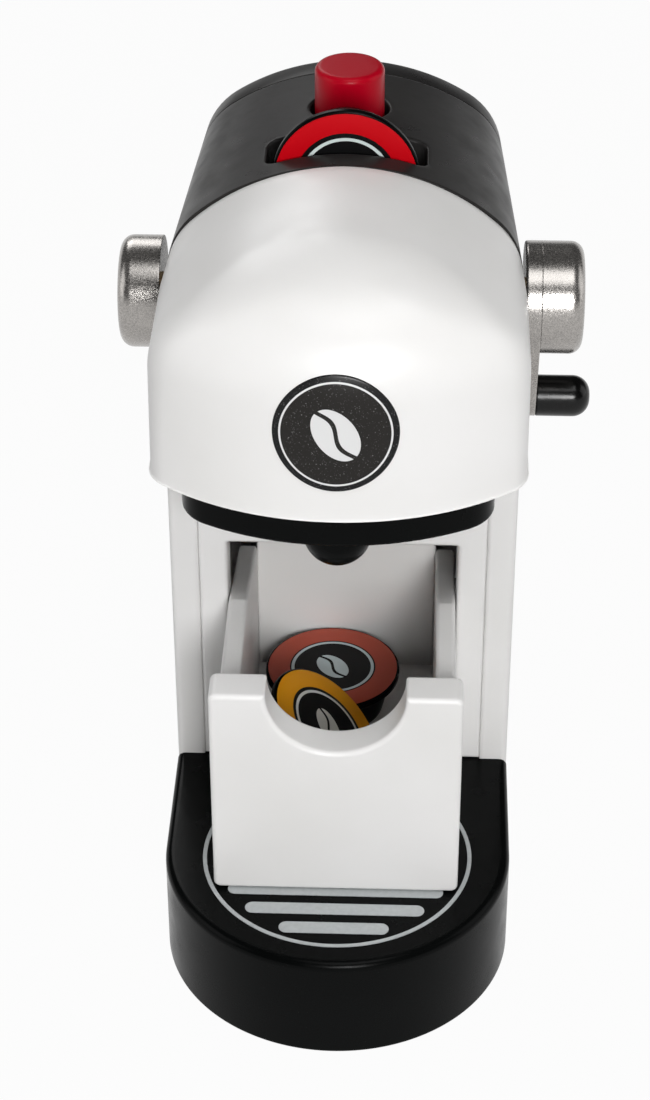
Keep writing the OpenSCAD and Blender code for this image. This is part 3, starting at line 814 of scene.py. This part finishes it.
def seam_columns(column, edge, steps=3):
    """Columns that turn a seam rim inwards, along the section's own normal, over edge in depth."""
    tangent = np.gradient(column[:, [0, 2]], axis=0)
    normal = unit(np.stack([tangent[:, 1], -tangent[:, 0]], 1))
    out = np.array([np.sign(column[0, 0]), 0.5])
    normal *= np.sign((normal * out).sum(1, keepdims=True) + 1e-9)
    normal[-1] = [0, 1]
    a = np.linspace(0, math.pi / 2, steps + 1)[:, None, None]
    xz = column[None][:, :, [0, 2]] - (edge - edge * np.cos(a)) * normal[None]
    y = column[None, :, 1:2] + edge * np.sin(a)
    return np.concatenate([xz[..., :1], y, xz[..., 1:]], 2)


def head_grid(inset, edge):
    """Grid over the front half: rim rows, then plans up to the crown, with seam columns at both ends."""
    t = np.linspace(0, 1, 56)
    top = CROWN_Z - inset
    z = np.concatenate([np.linspace(HEAD_Z + RIM_EDGE, CLOSE_ROWS_Z, 12)[:-1],
                        top - (top - CLOSE_ROWS_Z) * (1 - t) ** 2])
    rows = head_plans(z, inset)
    rows = np.concatenate([rim_rows(rows[0])[:-1], rows])
    rows[..., 1] = np.minimum(rows[..., 1], SEAM_Y)
    depth = max(edge, 0.01)
    rows[:, 0, 1] = rows[:, -1, 1] = SEAM_Y - depth
    right = seam_columns(rows[:, 0], depth)[1:][::-1]
    left = seam_columns(rows[:, -1], depth)[1:]
    return np.concatenate([right.transpose(1, 0, 2), rows, left.transpose(1, 0, 2)], 1)


class MACHINE_OT_head_front(bpy.types.Operator):
    """White front half of the head, a hollow shell open at the seam and underneath"""
    bl_idname = "machine.head_front"
    bl_label = "Head, front half"

    def execute(self, context):
        outer = head_grid(0.0, rounding("seam_edge"))
        inner = head_grid(FRONT_WALL, 0.0)
        inner[:RIM_STEPS + 1, :, 2] = HEAD_Z
        mould = Mould()
        i, j = mould.grid(outer), mould.grid(inner)
        mould.strip(i[0], j[0])
        mould.strip(i[:, 0], j[:, 0])
        mould.strip(i[:, -1], j[:, -1])
        mould.cast("white_head_shell", "housing", "white", "head_front")
        return {"FINISHED"}


def even(*stops):
    """Values at even steps between stops: value, steps, value, steps, value and so on."""
    runs = [np.linspace(a, b, n + 1)[:-1] for a, n, b in zip(stops[::2], stops[1::2], stops[2::2])]
    return np.concatenate(runs + [stops[-1:]])


def slot_loop(half, length, r, n_long, n_short, arc=3):
    """Rounded rectangle that starts in the middle of a corner arc and runs anticlockwise.

    Each side takes half of both its corner arcs, in arc steps of 45 degrees in all, and n points
    altogether, so that the loop pairs up with the rim of a patch of n_short by n_long quads.
    """
    first = np.radians(np.linspace(-135, -90, arc + 1))
    last = np.radians(np.linspace(-90, -45, arc + 1))
    out = []
    for k, n in enumerate((n_long, n_short, n_long, n_short)):
        a, b = ((half, length), (length, half))[k % 2]
        straight = np.linspace(-(a - r), a - r, n - 2 * arc + 1)
        run = np.concatenate([
            np.stack([-(a - r) + r * np.cos(first), -(b - r) + r * np.sin(first)], 1)[:-1],
            np.stack([straight, np.full(len(straight), -b)], 1)[:-1],
            np.stack([a - r + r * np.cos(last), -(b - r) + r * np.sin(last)], 1)[:-1]])
        turn = math.radians(90 * k)
        out.append(run @ np.array([[math.cos(turn), math.sin(turn)], [-math.sin(turn), math.cos(turn)]]))
    return np.concatenate(out)


def round_loop(r, n_long, n_short):
    """Circle whose quarter points pair up with the corners of a patch of n_short by n_long quads."""
    a = np.radians(np.concatenate([90 * k - 135 + np.linspace(0, 90, n + 1)[:-1]
                                   for k, n in enumerate((n_long, n_short, n_long, n_short))]))
    return r * np.stack([np.cos(a), np.sin(a)], 1)


def rim_of(i, r0, r1, c0, c1):
    """Rim of a rectangle of a grid, anticlockwise from its first corner, along the columns first."""
    return np.concatenate([i[r0, c0:c1], i[r0:r1, c1], i[r1, c1:c0:-1], i[r1:r0:-1, c0]])


def pierce(mould, ids, rims, hole, centre, lift, edge, steps=4, turns=5):
    """Fills the patches left out of the hood's two surfaces round a hole and joins them by its wall.

    ids holds the point numbers of the patch's rim on the outer and on the inner surface, and rims
    their flat places. hole(spread) is the hole's outline, spread wider. The rows between rim and hole
    blend evenly, and lift(flat, depth) puts them depth below the surface. The edge is a quarter
    circle: it spreads by r minus r sine and sinks by r minus r cosine.
    """
    centre = np.asarray(centre, float)
    t = np.linspace(0, 1, steps + 1)[1:-1, None, None]

    def fill(side, spread, depth, lip):
        blend = rims[side] * (1 - t) + (centre + hole(spread)) * t
        rows = mould.rings([lift(row, depth) for row in blend] + lip)
        mould.band(ids[side], rows[0])
        return rows[-1]

    lip = [lift(centre + hole(edge - edge * math.sin(k)), edge - edge * math.cos(k))
           for k in np.linspace(0, math.pi / 2, turns + 1)]
    mouth = fill(0, edge, 0.0, lip)
    mould.band(mouth, fill(1, 0.0, HOOD_WALL, [lift(centre + hole(0.0), HOOD_WALL)]))


def on_crown(flat, depth):
    """Points of the hood's top over flat places x and y, depth below the surface."""
    bow = SECTION_BOW - depth
    height = crown_z(flat[:, 1]) - depth - bow + np.sqrt(bow ** 2 - flat[:, 0] ** 2)
    return np.stack([flat[:, 0], flat[:, 1], height], 1)


def on_side(side):
    """The same over flat places y and z, for the right side of the hood (1) or its left one (-1)."""
    return lambda flat, depth: np.stack([side * (side_half(flat[:, 0]) - depth), flat[:, 0], flat[:, 1]], 1)


class MACHINE_OT_hood(bpy.types.Operator):
    """Black rear half of the head with the capsule slot, the button hole and the lever bores"""
    bl_idname = "machine.hood"
    bl_label = "Hood"

    def execute(self, context):
        edge, slot_edge, foot = rounding("seam_edge"), rounding("slot_edge"), 0.4
        lip_rows, foot_columns = 5, 3
        axis, button = joint_place("lever_turn"), middle("button")

        reach_y, reach_z = 13.0, 10.0         # how far the patches reach from the slot and the bores
        first, last = axis[1] - reach_y, axis[1] + reach_y
        far = 2 * button[1] - last
        before = 2                            # steps ahead of the first patch, in depth and in height
        # Columns and rows of quads that are left out for each hole.
        slot_quads, button_quads, bore_quads = (22, 10), (14, 14), (8, 8)
        y = even(SEAM_Y + edge + 0.4, before, first, slot_quads[1], last, button_quads[1], far, 4,
                 COVER_Y - edge - 0.4)
        z = even(HEAD_Z + foot + 0.1, before, axis[2] - reach_z, bore_quads[0], axis[2] + reach_z, 2,
                 SHOULDER_Z)

        def surface(inset, lip, rim):
            """The hood's section at each depth, drawn in by quarter circles at both ends and both feet."""
            turn = np.linspace(math.pi / 2, 0, lip_rows)
            beyond, sunk = lip - lip * np.sin(turn), lip - lip * np.cos(turn)
            depth = np.concatenate([SEAM_Y + beyond, y, COVER_Y - beyond[::-1]])
            sunk = np.concatenate([sunk, 0 * y, sunk[::-1]]) + inset
            rows = crowned(side_half(depth) - sunk, crown_z(depth) - sunk, SECTION_BOW - sunk,
                           SECTION_CORNER - sunk, 0, z)
            down = np.linspace(0, math.pi / 2, foot_columns + 1)[:-1]
            right = np.stack([rows[:, :1, 0] - rim + rim * np.sin(down),
                              HEAD_Z + foot - foot * np.cos(down) + 0 * rows[:, :1, 0]], 2)
            rows = np.concatenate([right, rows, right[:, ::-1] * [-1, 1]], 1)
            return np.stack([rows[..., 0], np.broadcast_to(depth[:, None], rows.shape[:2]), rows[..., 1]], 2)

        outer, inner = surface(0.0, edge, foot), surface(HOOD_WALL, 0.0, 0.0)
        row, side = lip_rows + before, foot_columns + before
        bore_row = row + (slot_quads[1] - bore_quads[1]) // 2
        top, end = outer.shape[1] // 2, outer.shape[1] - 1

        # The outlines of the four holes, wider by spread, run the same way round as their patches' rims.
        def slot(spread, *quads):
            half_w, half_d, corner = SLOT_HALF_W + spread, SLOT_HALF_D + spread, SLOT_CORNER + spread
            return slot_loop(half_w, half_d, corner, *quads) * [-1, 1]

        def button_hole(spread, *quads):
            return round_loop(BUTTON_HOLE_R + spread, *quads) * [-1, 1]

        def right_bore(spread, *quads):
            return round_loop(BORE_R + spread, *quads)[:, ::-1]

        def left_bore(spread, *quads):
            return right_bore(spread, *quads) * [1, -1]

        patches = [  # first row and column, quads, hole, its middle, its surface, the two flat axes, its edge
            (row, top - slot_quads[0] // 2, slot_quads,
             slot, axis[:2], on_crown, (0, 1), slot_edge),
            (row + slot_quads[1], top - button_quads[0] // 2, button_quads,
             button_hole, (0.0, button[1]), on_crown, (0, 1), slot_edge),
            (bore_row, side, bore_quads,
             right_bore, axis[1:], on_side(1), (1, 2), 0.3),
            (bore_row, end - side - bore_quads[0], bore_quads,
             left_bore, axis[1:], on_side(-1), (1, 2), 0.3)]
        skip = np.zeros((outer.shape[0] - 1, outer.shape[1] - 1), bool)
        for r0, c0, (columns, rows), *_ in patches:
            skip[r0:r0 + rows, c0:c0 + columns] = True

        mould = Mould()
        i, j = (mould.add(p).reshape(p.shape[:2]) for p in (outer, inner))
        for ids in (i, j):
            mould.quads(ids, skip)
        for ends in ((i[0], j[0]), (i[-1], j[-1]), (i[:, 0], j[:, 0]), (i[:, -1], j[:, -1])):
            mould.strip(*ends)
        for r0, c0, quads, hole, centre, lift, axes, lip in patches:
            box = (r0, r0 + quads[1], c0, c0 + quads[0])
            pierce(mould, [rim_of(ids, *box) for ids in (i, j)],
                   [rim_of(p, *box)[:, axes] for p in (outer, inner)],
                   lambda spread: hole(spread, *quads), centre, lift, lip)
        mould.cast("pierced_hood", "housing", "hood", "hood")
        return {"FINISHED"}


class MACHINE_OT_cover(bpy.types.Operator):
    """Cover at the back of the hood and the four sunk screws that hold it"""
    bl_idname = "machine.cover"
    bl_label = "Rear cover"

    def execute(self, context):
        # The head's section at each depth, drawn in by a quarter circle at the seam and one at the back.
        edge, rear = rounding("seam_edge"), 2.4
        a0, a1 = np.linspace(math.pi / 2, 0, 5), np.linspace(0, math.pi / 2, 7)
        y = np.concatenate([COVER_Y + edge - edge * np.sin(a0), BACK_Y - rear + rear * np.sin(a1)])
        inset = np.concatenate([edge - edge * np.cos(a0), rear - rear * np.cos(a1)])
        rows = crowned(side_half(y) - inset, crown_z(y) - inset, SECTION_BOW - inset, SECTION_CORNER - inset,
                       HEAD_Z + inset * 0.5, SIDE_FRACTIONS)
        points = np.stack([rows[..., 0], np.broadcast_to(y[:, None], rows.shape[:2]), rows[..., 1]], 2)
        cover = Mould()
        i = cover.grid(points, wrap=True)[:, :-1]
        head_r, shank_r, sunk = 3.2, 1.7, 2.2
        sinking = [(head_r + 0.3, BACK_Y), (head_r + 0.1, BACK_Y - 0.1), (head_r, BACK_Y - 0.3),
                   (head_r, BACK_Y - sunk), (shank_r, BACK_Y - sunk), (shank_r, COVER_Y)]
        holes = [cover.rings([at_height(circle(place, r, 36), depth, "XZ") for r, depth in sinking])
                 for place in SCREWS]
        cover.flat([i[-1]] + [hole[0] for hole in holes])
        cover.flat([i[0]] + [hole[-1] for hole in holes])
        cover.cast("rounded_rear_cover", "housing", "hood", "rear_cover")

        top, tip, head_t = high("cover_screws")[1], low("cover_screws")[1], 1.8
        turning = [(2.6, top), (2.87, top - 0.1), (2.98, top - 0.3), (3.0, top - 0.6), (3.0, top - head_t),
                   (shank_r, top - head_t), (shank_r, tip)]
        reach, arm, recess_t = 1.7, 0.42, 1.2  # the cross recess: half its length, of its width, its depth
        quarter = np.array([[reach, -arm], [reach, arm], [arm, arm]])
        turned_quarter = quarter[:, ::-1] * [-1, 1]
        cross = np.concatenate([quarter, turned_quarter, -quarter, -turned_quarter])
        screws = Mould()
        for place in SCREWS:
            head = screws.rings([at_height(circle(place, r, 36), depth, "XZ") for r, depth in turning])
            recess = screws.rings([at_height(place + size * cross, depth, "XZ")
                                   for size, depth in ((1.0, top), (0.85, top - recess_t))])
            screws.flat([head[0], recess[0]])
            screws.cap(recess[-1])
            screws.cap(head[-1])
        screws.cast("crosshead_screws", "housing", "steel", "cover_screws")
        return {"FINISHED"}


class MACHINE_OT_plate(bpy.types.Operator):
    """Black board under the head and the turned spout"""
    bl_idname = "machine.plate"
    bl_label = "Plate and spout"

    def execute(self, context):
        lo, hi = low("head_plate"), high("head_plate")
        bow, corner = 78.0, 14.0
        outline = crowned(HALF_W - PANEL_T, -lo[1], bow, corner, -FRONT_Y, [0, 0.02, 0.5, 0.98])[0]
        outline = (outline * [1, -1])[::-1]
        plank("bowed_lower_board", "housing", "black", "head_plate",
              outline, 0, faces=(lo[2], hi[2]), edges=(1.2, 0.4),
              shift=inward(outline, closed=False), steps=6)

        lo, hi = low("spout"), high("spout")
        r = (hi[0] - lo[0]) / 2
        ball = arc_points((0, lo[2] + r), r, -90, 0, 24)
        peg("ball_ended_spout", "housing", "black", "spout",
            np.concatenate([ball, [[r, hi[2]], [0, hi[2]]]]), (0, middle("spout")[1], 0))
        return {"FINISHED"}


class MACHINE_OT_badge(bpy.types.Operator):
    """Round sticker that follows the curved front"""
    bl_idname = "machine.badge"
    bl_label = "Badge"

    def execute(self, context):
        radius = (high("badge")[0] - low("badge")[0]) / 2
        centre_z = middle("badge")[2]
        # Rings laid on the front: its depth at their height, plus the bow's radius less the root of
        # its square less the square of u. They stand proud of it by the sticker's thickness.
        r = np.concatenate([[radius, radius, radius - 0.06, radius - 0.25], even(radius - 0.6, 12, 0)])
        proud = np.concatenate([[0.02, 0.25, 0.38, 0.45], np.full(len(r) - 4, 0.46)])[:, None]
        a = np.linspace(0, 2 * math.pi, 128, endpoint=False)
        u, w = r[:, None] * np.cos(a), r[:, None] * np.sin(a)
        z = centre_z + w * math.cos(FRONT_LEAN)
        y = front_y(z) + FRONT_BOW - np.sqrt(FRONT_BOW ** 2 - u ** 2) - proud
        mould = Mould()
        i = mould.grid(np.stack([u, y, z], 2), wrap=True)[:, :-1]
        mould.cap(i[0])
        piece = mould.cast("round_sticker", "housing", "badge", "badge")
        upright = np.array(Matrix.Rotation(math.pi / 2, 3, "X"))
        lay_print(piece, upright, np.array([0, 0, centre_z]), radius)
        return {"FINISHED"}


# ---------- lever and button ----------


class MACHINE_OT_lever(bpy.types.Operator):
    """Both knobs, the pear-shaped arm and the handle"""
    bl_idname = "machine.lever"
    bl_label = "Lever"

    def execute(self, context):
        _, y, z = joint_place("lever_turn")
        for side, word in ((1, "right"), (-1, "left")):
            lo, hi = low(f"knob_{word}"), high(f"knob_{word}")
            r = (hi[2] - lo[2]) / 2
            inner, outer = (lo[0], hi[0])[::side]
            peg(f"{word}_knob_turned", "lever", "silver", f"knob_{word}", rounded_profile(
                [[0, inner], [r, inner], [r, outer], [0, outer + side * FACE_RISE]], [0.15, 4.0], 9),
                (0, y, z), "X")

        lo, hi = low("lever_handle"), high("lever_handle")
        small = (hi[2] - lo[2]) / 2
        handle = rounded_profile([[0, lo[0]], [small, lo[0]], [small, hi[0]], [0, hi[0] + FACE_RISE]],
                                 [0.6, 5.4], 12)
        lo, hi = low("lever_arm"), high("lever_arm")
        big = (hi[1] - lo[1]) / 2
        # Two arcs joined by their common tangents, whose lean has the sine (big - small) / far.
        far = z - (lo[2] + small)
        tilt = math.degrees(math.asin((big - small) / far))
        outline = np.concatenate([arc_points((y, z), big, -tilt, 180 + tilt, 64),
                                  arc_points((y, z - far), small, 180 + tilt, 360 - tilt, 32)])
        plank("pear_shaped_arm", "lever", "silver", "lever_arm",
              outline, 0, faces=(lo[0], hi[0]), edges=(0.8, 0.15), plane="YZ", shift=inward(outline))
        peg("turned_handle", "lever", "handle", "lever_handle", handle, (0, y, z - far), "X")
        return {"FINISHED"}


class MACHINE_OT_button(bpy.types.Operator):
    """Red push button with a softened rim and a flange that keeps it in, and its spring"""
    bl_idname = "machine.button"
    bl_label = "Button"

    def execute(self, context):
        lo, hi = low("button"), high("button")
        r, flange, flange_t = 10.65, (hi[0] - lo[0]) / 2, 2.2
        y, foot, top = middle("button")[1], lo[2], hi[2]
        peg("push_button", "button", "red", "button", rounded_profile(
            [[0, foot], [flange, foot], [flange, foot + flange_t], [r, foot + flange_t], [r, top],
             [0, top + FACE_RISE]], [0.4, 0.4, 0.3, 1.9], 8), (0, y, 0))

        lo, hi = low("button_spring"), high("button_spring")
        # A circle, the section of the wire, carried round a helix in the plane through the axis.
        wire, turns, clear = 1.2, 5, 0.05     # clear is the gap that stays under the spring when pressed
        a = np.linspace(0, 2 * math.pi * turns, 40 * turns + 1)[:, None]
        k = np.linspace(0, 2 * math.pi, 16, endpoint=False)[None]
        r = hi[0] - wire / 2 + wire / 2 * np.cos(k)
        z = np.linspace(lo[2] + wire / 2, hi[2] - wire / 2, len(a))[:, None] + wire / 2 * np.sin(k)
        coil = Mould()
        coil.caps(coil.grid(np.stack([r * np.cos(a), y + r * np.sin(a), z], 2), wrap=True)[:, :-1])
        piece = coil.cast("coiled_spring", "button", "steel", "button_spring")
        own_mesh(piece)
        return {"FINISHED"}


# ---------- drawer ----------

NOTCH_R = 20.7                                # finger notch in the drawer front
SLOPE_BACK_Z, SLOPE_FRONT = 88.0, 5.0         # the sides fall to this height, from this far before the tower


class MACHINE_OT_drawer(bpy.types.Operator):
    """Drawer front with its finger notch, two sloping sides, back and floor"""
    bl_idname = "machine.drawer"
    bl_label = "Drawer"

    def execute(self, context):
        lo, hi = low("drawer_front"), high("drawer_front")
        half, top, edge = hi[0], hi[2], rounding("drawer_edge")
        arc = arc_points((0, top), NOTCH_R, -9, -171, 42)
        corners = np.concatenate([[[-half, lo[2]], [half, lo[2]], [half, top], [NOTCH_R, top]], arc,
                                  [[-NOTCH_R, top], [-half, top]]])
        plank("notched_drawer_front", "drawer", "white", "drawer_front",
              corners, [2.2, 2.2, 2.2, 0.9] + [0] * len(arc) + [0.9, 2.2],
              faces=(lo[1], hi[1]), edges=(edge, edge), plane="XZ", steps=7)

        for word in ("right", "left"):
            lo, hi = low(f"drawer_wall_{word}"), high(f"drawer_wall_{word}")
            corners = [[lo[1], lo[2]], [hi[1], lo[2]], [hi[1], SLOPE_BACK_Z],
                       [FRONT_Y - SLOPE_FRONT, hi[2]], [lo[1], hi[2]]]
            plank(f"{word}_drawer_side", "drawer", "white", f"drawer_wall_{word}",
                  corners, [0.3, 1.0, 6.0, 3.0, 0.3],
                  faces=(lo[0], hi[0]), edges=(1.2, 1.2), plane="YZ", arc=8)

        lo, hi = low("drawer_back"), high("drawer_back")
        plank("drawer_end", "drawer", "white", "drawer_back",
              rectangle(lo[0], lo[2], hi[0], hi[2]), 0.4,
              faces=(lo[1], hi[1]), edges=(0.8, 0.8), plane="XZ", arc=3)
        lo, hi = low("drawer_floor"), high("drawer_floor")
        plank("drawer_bottom", "drawer", "white", "drawer_floor",
              rectangle(lo[0], lo[1], hi[0], hi[1]), 0.3, faces=(lo[2], hi[2]), edges=(0.5, 0.5), arc=3)
        return {"FINISHED"}


# ---------- capsules ----------

CAPSULES = [  # name, middle of its face, and how far it is turned about X and Y, in degrees
    ("red", np.array([0.0, 25.6, 230.6]), 90.0, 0.0),
    ("brown", np.array([-3.7, 14.9, 57.8]), 0.0, 0.0),
    ("amber", np.array([-3.7, -26.2, 65.3]), 4.0, 41.5),
]
CAPSULE_R, RIM_T, CUP_TOP_R, CUP_FOOT_R, CUP_H = 22.0, 2.5, 19.5, 16.5, 15.0
LABEL_R, LABEL_T = 21.2, 0.2


class MACHINE_OT_capsules(bpy.types.Operator):
    """Three turned capsules with printed labels"""
    bl_idname = "machine.capsules"
    bl_label = "Capsules"

    def execute(self, context):
        cup = rounded_profile([[0, -CUP_H - FACE_RISE], [CUP_FOOT_R, -CUP_H], [CUP_TOP_R, -RIM_T],
                               [CAPSULE_R, -RIM_T], [CAPSULE_R, 0], [0, FACE_RISE]], [0.8, 0.5, 0.7, 0.7], 5)
        paper = [[0, 0.0], [LABEL_R, 0.0], [LABEL_R, LABEL_T - 0.03], [LABEL_R - 0.1, LABEL_T],
                 [14, LABEL_T], [7, LABEL_T], [0, LABEL_T]]
        for word, move, turn_x, turn_y in CAPSULES:
            turn = np.array(Matrix.Rotation(math.radians(turn_y), 3, "Y")
                            @ Matrix.Rotation(math.radians(turn_x), 3, "X"))
            node = f"capsule_{word}"
            body = next(b for b, names in frame["record"]["behaviour"]["bodies"].items() if node in names)

            def place(profile):
                """A turned profile, tilted and moved to where the capsule lies."""
                mould = Mould()
                turned(mould, profile, (0, 0, 0))
                mould.points = [p @ turn.T + move for p in mould.points]
                return mould

            place(cup).cast(f"turned_capsule_{word}", body, "black", node)
            piece = place(paper).cast(f"printed_label_{word}", body, f"label_{word}", f"{node}_label")
            lay_print(piece, turn, move, LABEL_R)
        return {"FINISHED"}


class MACHINE_OT_inside(bpy.types.Operator):
    """Bare wood of the drum, its stubs, the guide boards, rails and dowels"""
    bl_idname = "machine.inside"
    bl_label = "Inside"

    def execute(self, context):
        slots = {row["node"]: row["material_slot"] for row in frame["record"]["subparts"]}
        for node, obj in frame["nodes"].items():
            if slots[node] == FINISHES["beech"][0]:
                obj.data.materials.clear()
                obj.data.materials.append(finish("beech"))
        return {"FINISHED"}


# ---------- stage ----------

FLOOR_REACH = 8.0                             # metres, as all sizes and places of the stage are
LAMPS = (  # name, place, width, height and watts
    ("key_softbox", (0.14, -0.99, 0.57), 0.25, 0.30, 8.3),
    ("top_softbox", (0.10, -0.32, 1.10), 0.50, 0.50, 2.7),
    ("left_softbox", (-1.15, -0.20, 0.60), 0.8, 0.8, 3.2),
    ("right_softbox", (1.15, 0.10, 0.60), 0.8, 0.8, 2.8),
    ("back_softbox", (-0.40, 1.15, 0.95), 0.6, 0.6, 4.2))
LAMP_AIM = (0, 0, 0.12)
CAMERA_PLACE, CAMERA_LENS, SENSOR_H = (0.02010, -0.68146, 0.58651), 86.727, 36.0
CAMERA_PAN, CAMERA_DIP, CAMERA_ROLL = 2.1569, -34.6672, 0.15437    # degrees


def seen_directly(tree):
    """One for camera, glossy and transmission rays and nought for others, so metal shows the backdrop too."""
    path = put(tree, "LightPath")
    either = put(tree, "Math", {0: path.outputs["Is Camera Ray"], 1: path.outputs["Is Glossy Ray"]},
                 operation="MAXIMUM")
    both = put(tree, "Math", {0: either.outputs[0], 1: path.outputs["Is Transmission Ray"]},
               operation="MAXIMUM")
    return both.outputs[0]


def white_paper():
    """Matte floor that takes the object's shadow and shows as near white to what looks at it."""
    paper = bpy.data.materials.new("white_paper")
    paper.use_nodes = True
    tree = paper.node_tree
    shader = tree.nodes["Principled BSDF"]
    shader.inputs["Base Color"].default_value = colour("#A8A8A8")
    shader.inputs["Roughness"].default_value = 0.9
    glow = put(tree, "Emission", {"Color": (1, 1, 1, 1), "Strength": 1.0})
    share = put(tree, "Math", {0: seen_directly(tree), 1: 0.96}, operation="MULTIPLY")
    blend = put(tree, "MixShader", {0: share.outputs[0], 1: shader.outputs[0], 2: glow.outputs[0]})
    tree.links.new(blend.outputs[0], tree.nodes["Material Output"].inputs["Surface"])
    return paper


def white_room():
    """World that lights evenly, and that shows white at the horizon and darker above it."""
    world = bpy.data.worlds.new("white_room")
    world.use_nodes = True
    tree = world.node_tree
    back = tree.nodes["Background"]
    back.inputs["Color"].default_value = (1, 1, 1, 1)
    up = put(tree, "SeparateXYZ", {"Vector": put(tree, "TexCoord").outputs["Generated"]}).outputs["Z"]
    sweep = put(tree, "MapRange", {"Value": up, "From Min": 0.02, "From Max": 0.18, "To Min": 1.0,
                                   "To Max": 0.05}, interpolation_type="SMOOTHSTEP")
    strength = put(tree, "Mix", {"Factor": seen_directly(tree), 2: 0.12, 3: sweep.outputs["Result"]})
    tree.links.new(strength.outputs[0], back.inputs["Strength"])
    return world


class MACHINE_OT_stage(bpy.types.Operator):
    """Pale floor, soft lamps and the camera"""
    bl_idname = "machine.stage"
    bl_label = "Stage"

    def execute(self, context):
        scene = context.scene
        scene.view_settings.view_transform = "Standard"
        scene.world = white_room()

        mesh = bpy.data.meshes.new("floor")
        corners = rectangle(-FLOOR_REACH, -FLOOR_REACH, FLOOR_REACH, FLOOR_REACH)
        mesh.from_pydata([(x, y, 0) for x, y in corners], [], [(0, 1, 2, 3)])
        mesh.materials.append(white_paper())
        floor = bpy.data.objects.new("floor", mesh)
        scene.collection.objects.link(floor)

        for name, place, width, height, power in LAMPS:
            lamp = bpy.data.lights.new(name, "AREA")
            lamp.shape, lamp.size, lamp.size_y, lamp.energy = "RECTANGLE", width, height, power
            obj = bpy.data.objects.new(name, lamp)
            scene.collection.objects.link(obj)
            obj.location = place
            aim = Vector(LAMP_AIM) - Vector(place)
            obj.rotation_euler = aim.to_track_quat("-Z", "Y").to_euler()

        eye = bpy.data.cameras.new("front_camera")
        eye.sensor_fit, eye.sensor_height, eye.lens = "VERTICAL", SENSOR_H, CAMERA_LENS
        camera = bpy.data.objects.new("front_camera", eye)
        scene.collection.objects.link(camera)
        turn = Matrix.Identity(3)
        for degrees, axis in ((CAMERA_PAN, "Z"), (CAMERA_DIP, "X"), (CAMERA_ROLL, "Y"), (90, "X")):
            turn = turn @ Matrix.Rotation(math.radians(degrees), 3, axis)
        camera.matrix_world = Matrix.Translation(CAMERA_PLACE) @ turn.to_4x4()
        scene.camera = camera
        return {"FINISHED"}


# ---------- add-on ----------

OPERATORS = (MACHINE_OT_stage, MACHINE_OT_base, MACHINE_OT_tower, MACHINE_OT_head_front, MACHINE_OT_hood,
             MACHINE_OT_cover, MACHINE_OT_plate, MACHINE_OT_badge, MACHINE_OT_lever, MACHINE_OT_button,
             MACHINE_OT_drawer, MACHINE_OT_capsules, MACHINE_OT_inside)


class MACHINE_PT_panel(bpy.types.Panel):
    """Sizes, colours and one button for each piece"""
    bl_idname = "MACHINE_PT_panel"
    bl_label = "Coffee maker"
    bl_space_type = "VIEW_3D"
    bl_region_type = "UI"
    bl_category = "Coffee maker"

    def draw(self, context):
        for group in (context.scene.machine_sizes, context.scene.machine_colours):
            for key in group.__annotations__:
                self.layout.prop(group, key)
        for operator in OPERATORS:
            self.layout.operator(operator.bl_idname)


CLASSES = (MachineSizes, MachineColours) + OPERATORS + (MACHINE_PT_panel,)


def register():
    for cls in CLASSES:
        bpy.utils.register_class(cls)
    bpy.types.Scene.machine_sizes = bpy.props.PointerProperty(type=MachineSizes)
    bpy.types.Scene.machine_colours = bpy.props.PointerProperty(type=MachineColours)


def unregister():
    del bpy.types.Scene.machine_colours, bpy.types.Scene.machine_sizes
    for cls in reversed(CLASSES):
        bpy.utils.unregister_class(cls)


def main():
    """Builds every piece in order."""
    register()
    for operator in OPERATORS:
        group, name = operator.bl_idname.split(".")
        if getattr(getattr(bpy.ops, group), name)() != {"FINISHED"}:
            raise RuntimeError(f"{operator.bl_idname} did not finish")
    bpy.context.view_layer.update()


if __name__ == "__main__":
    main()
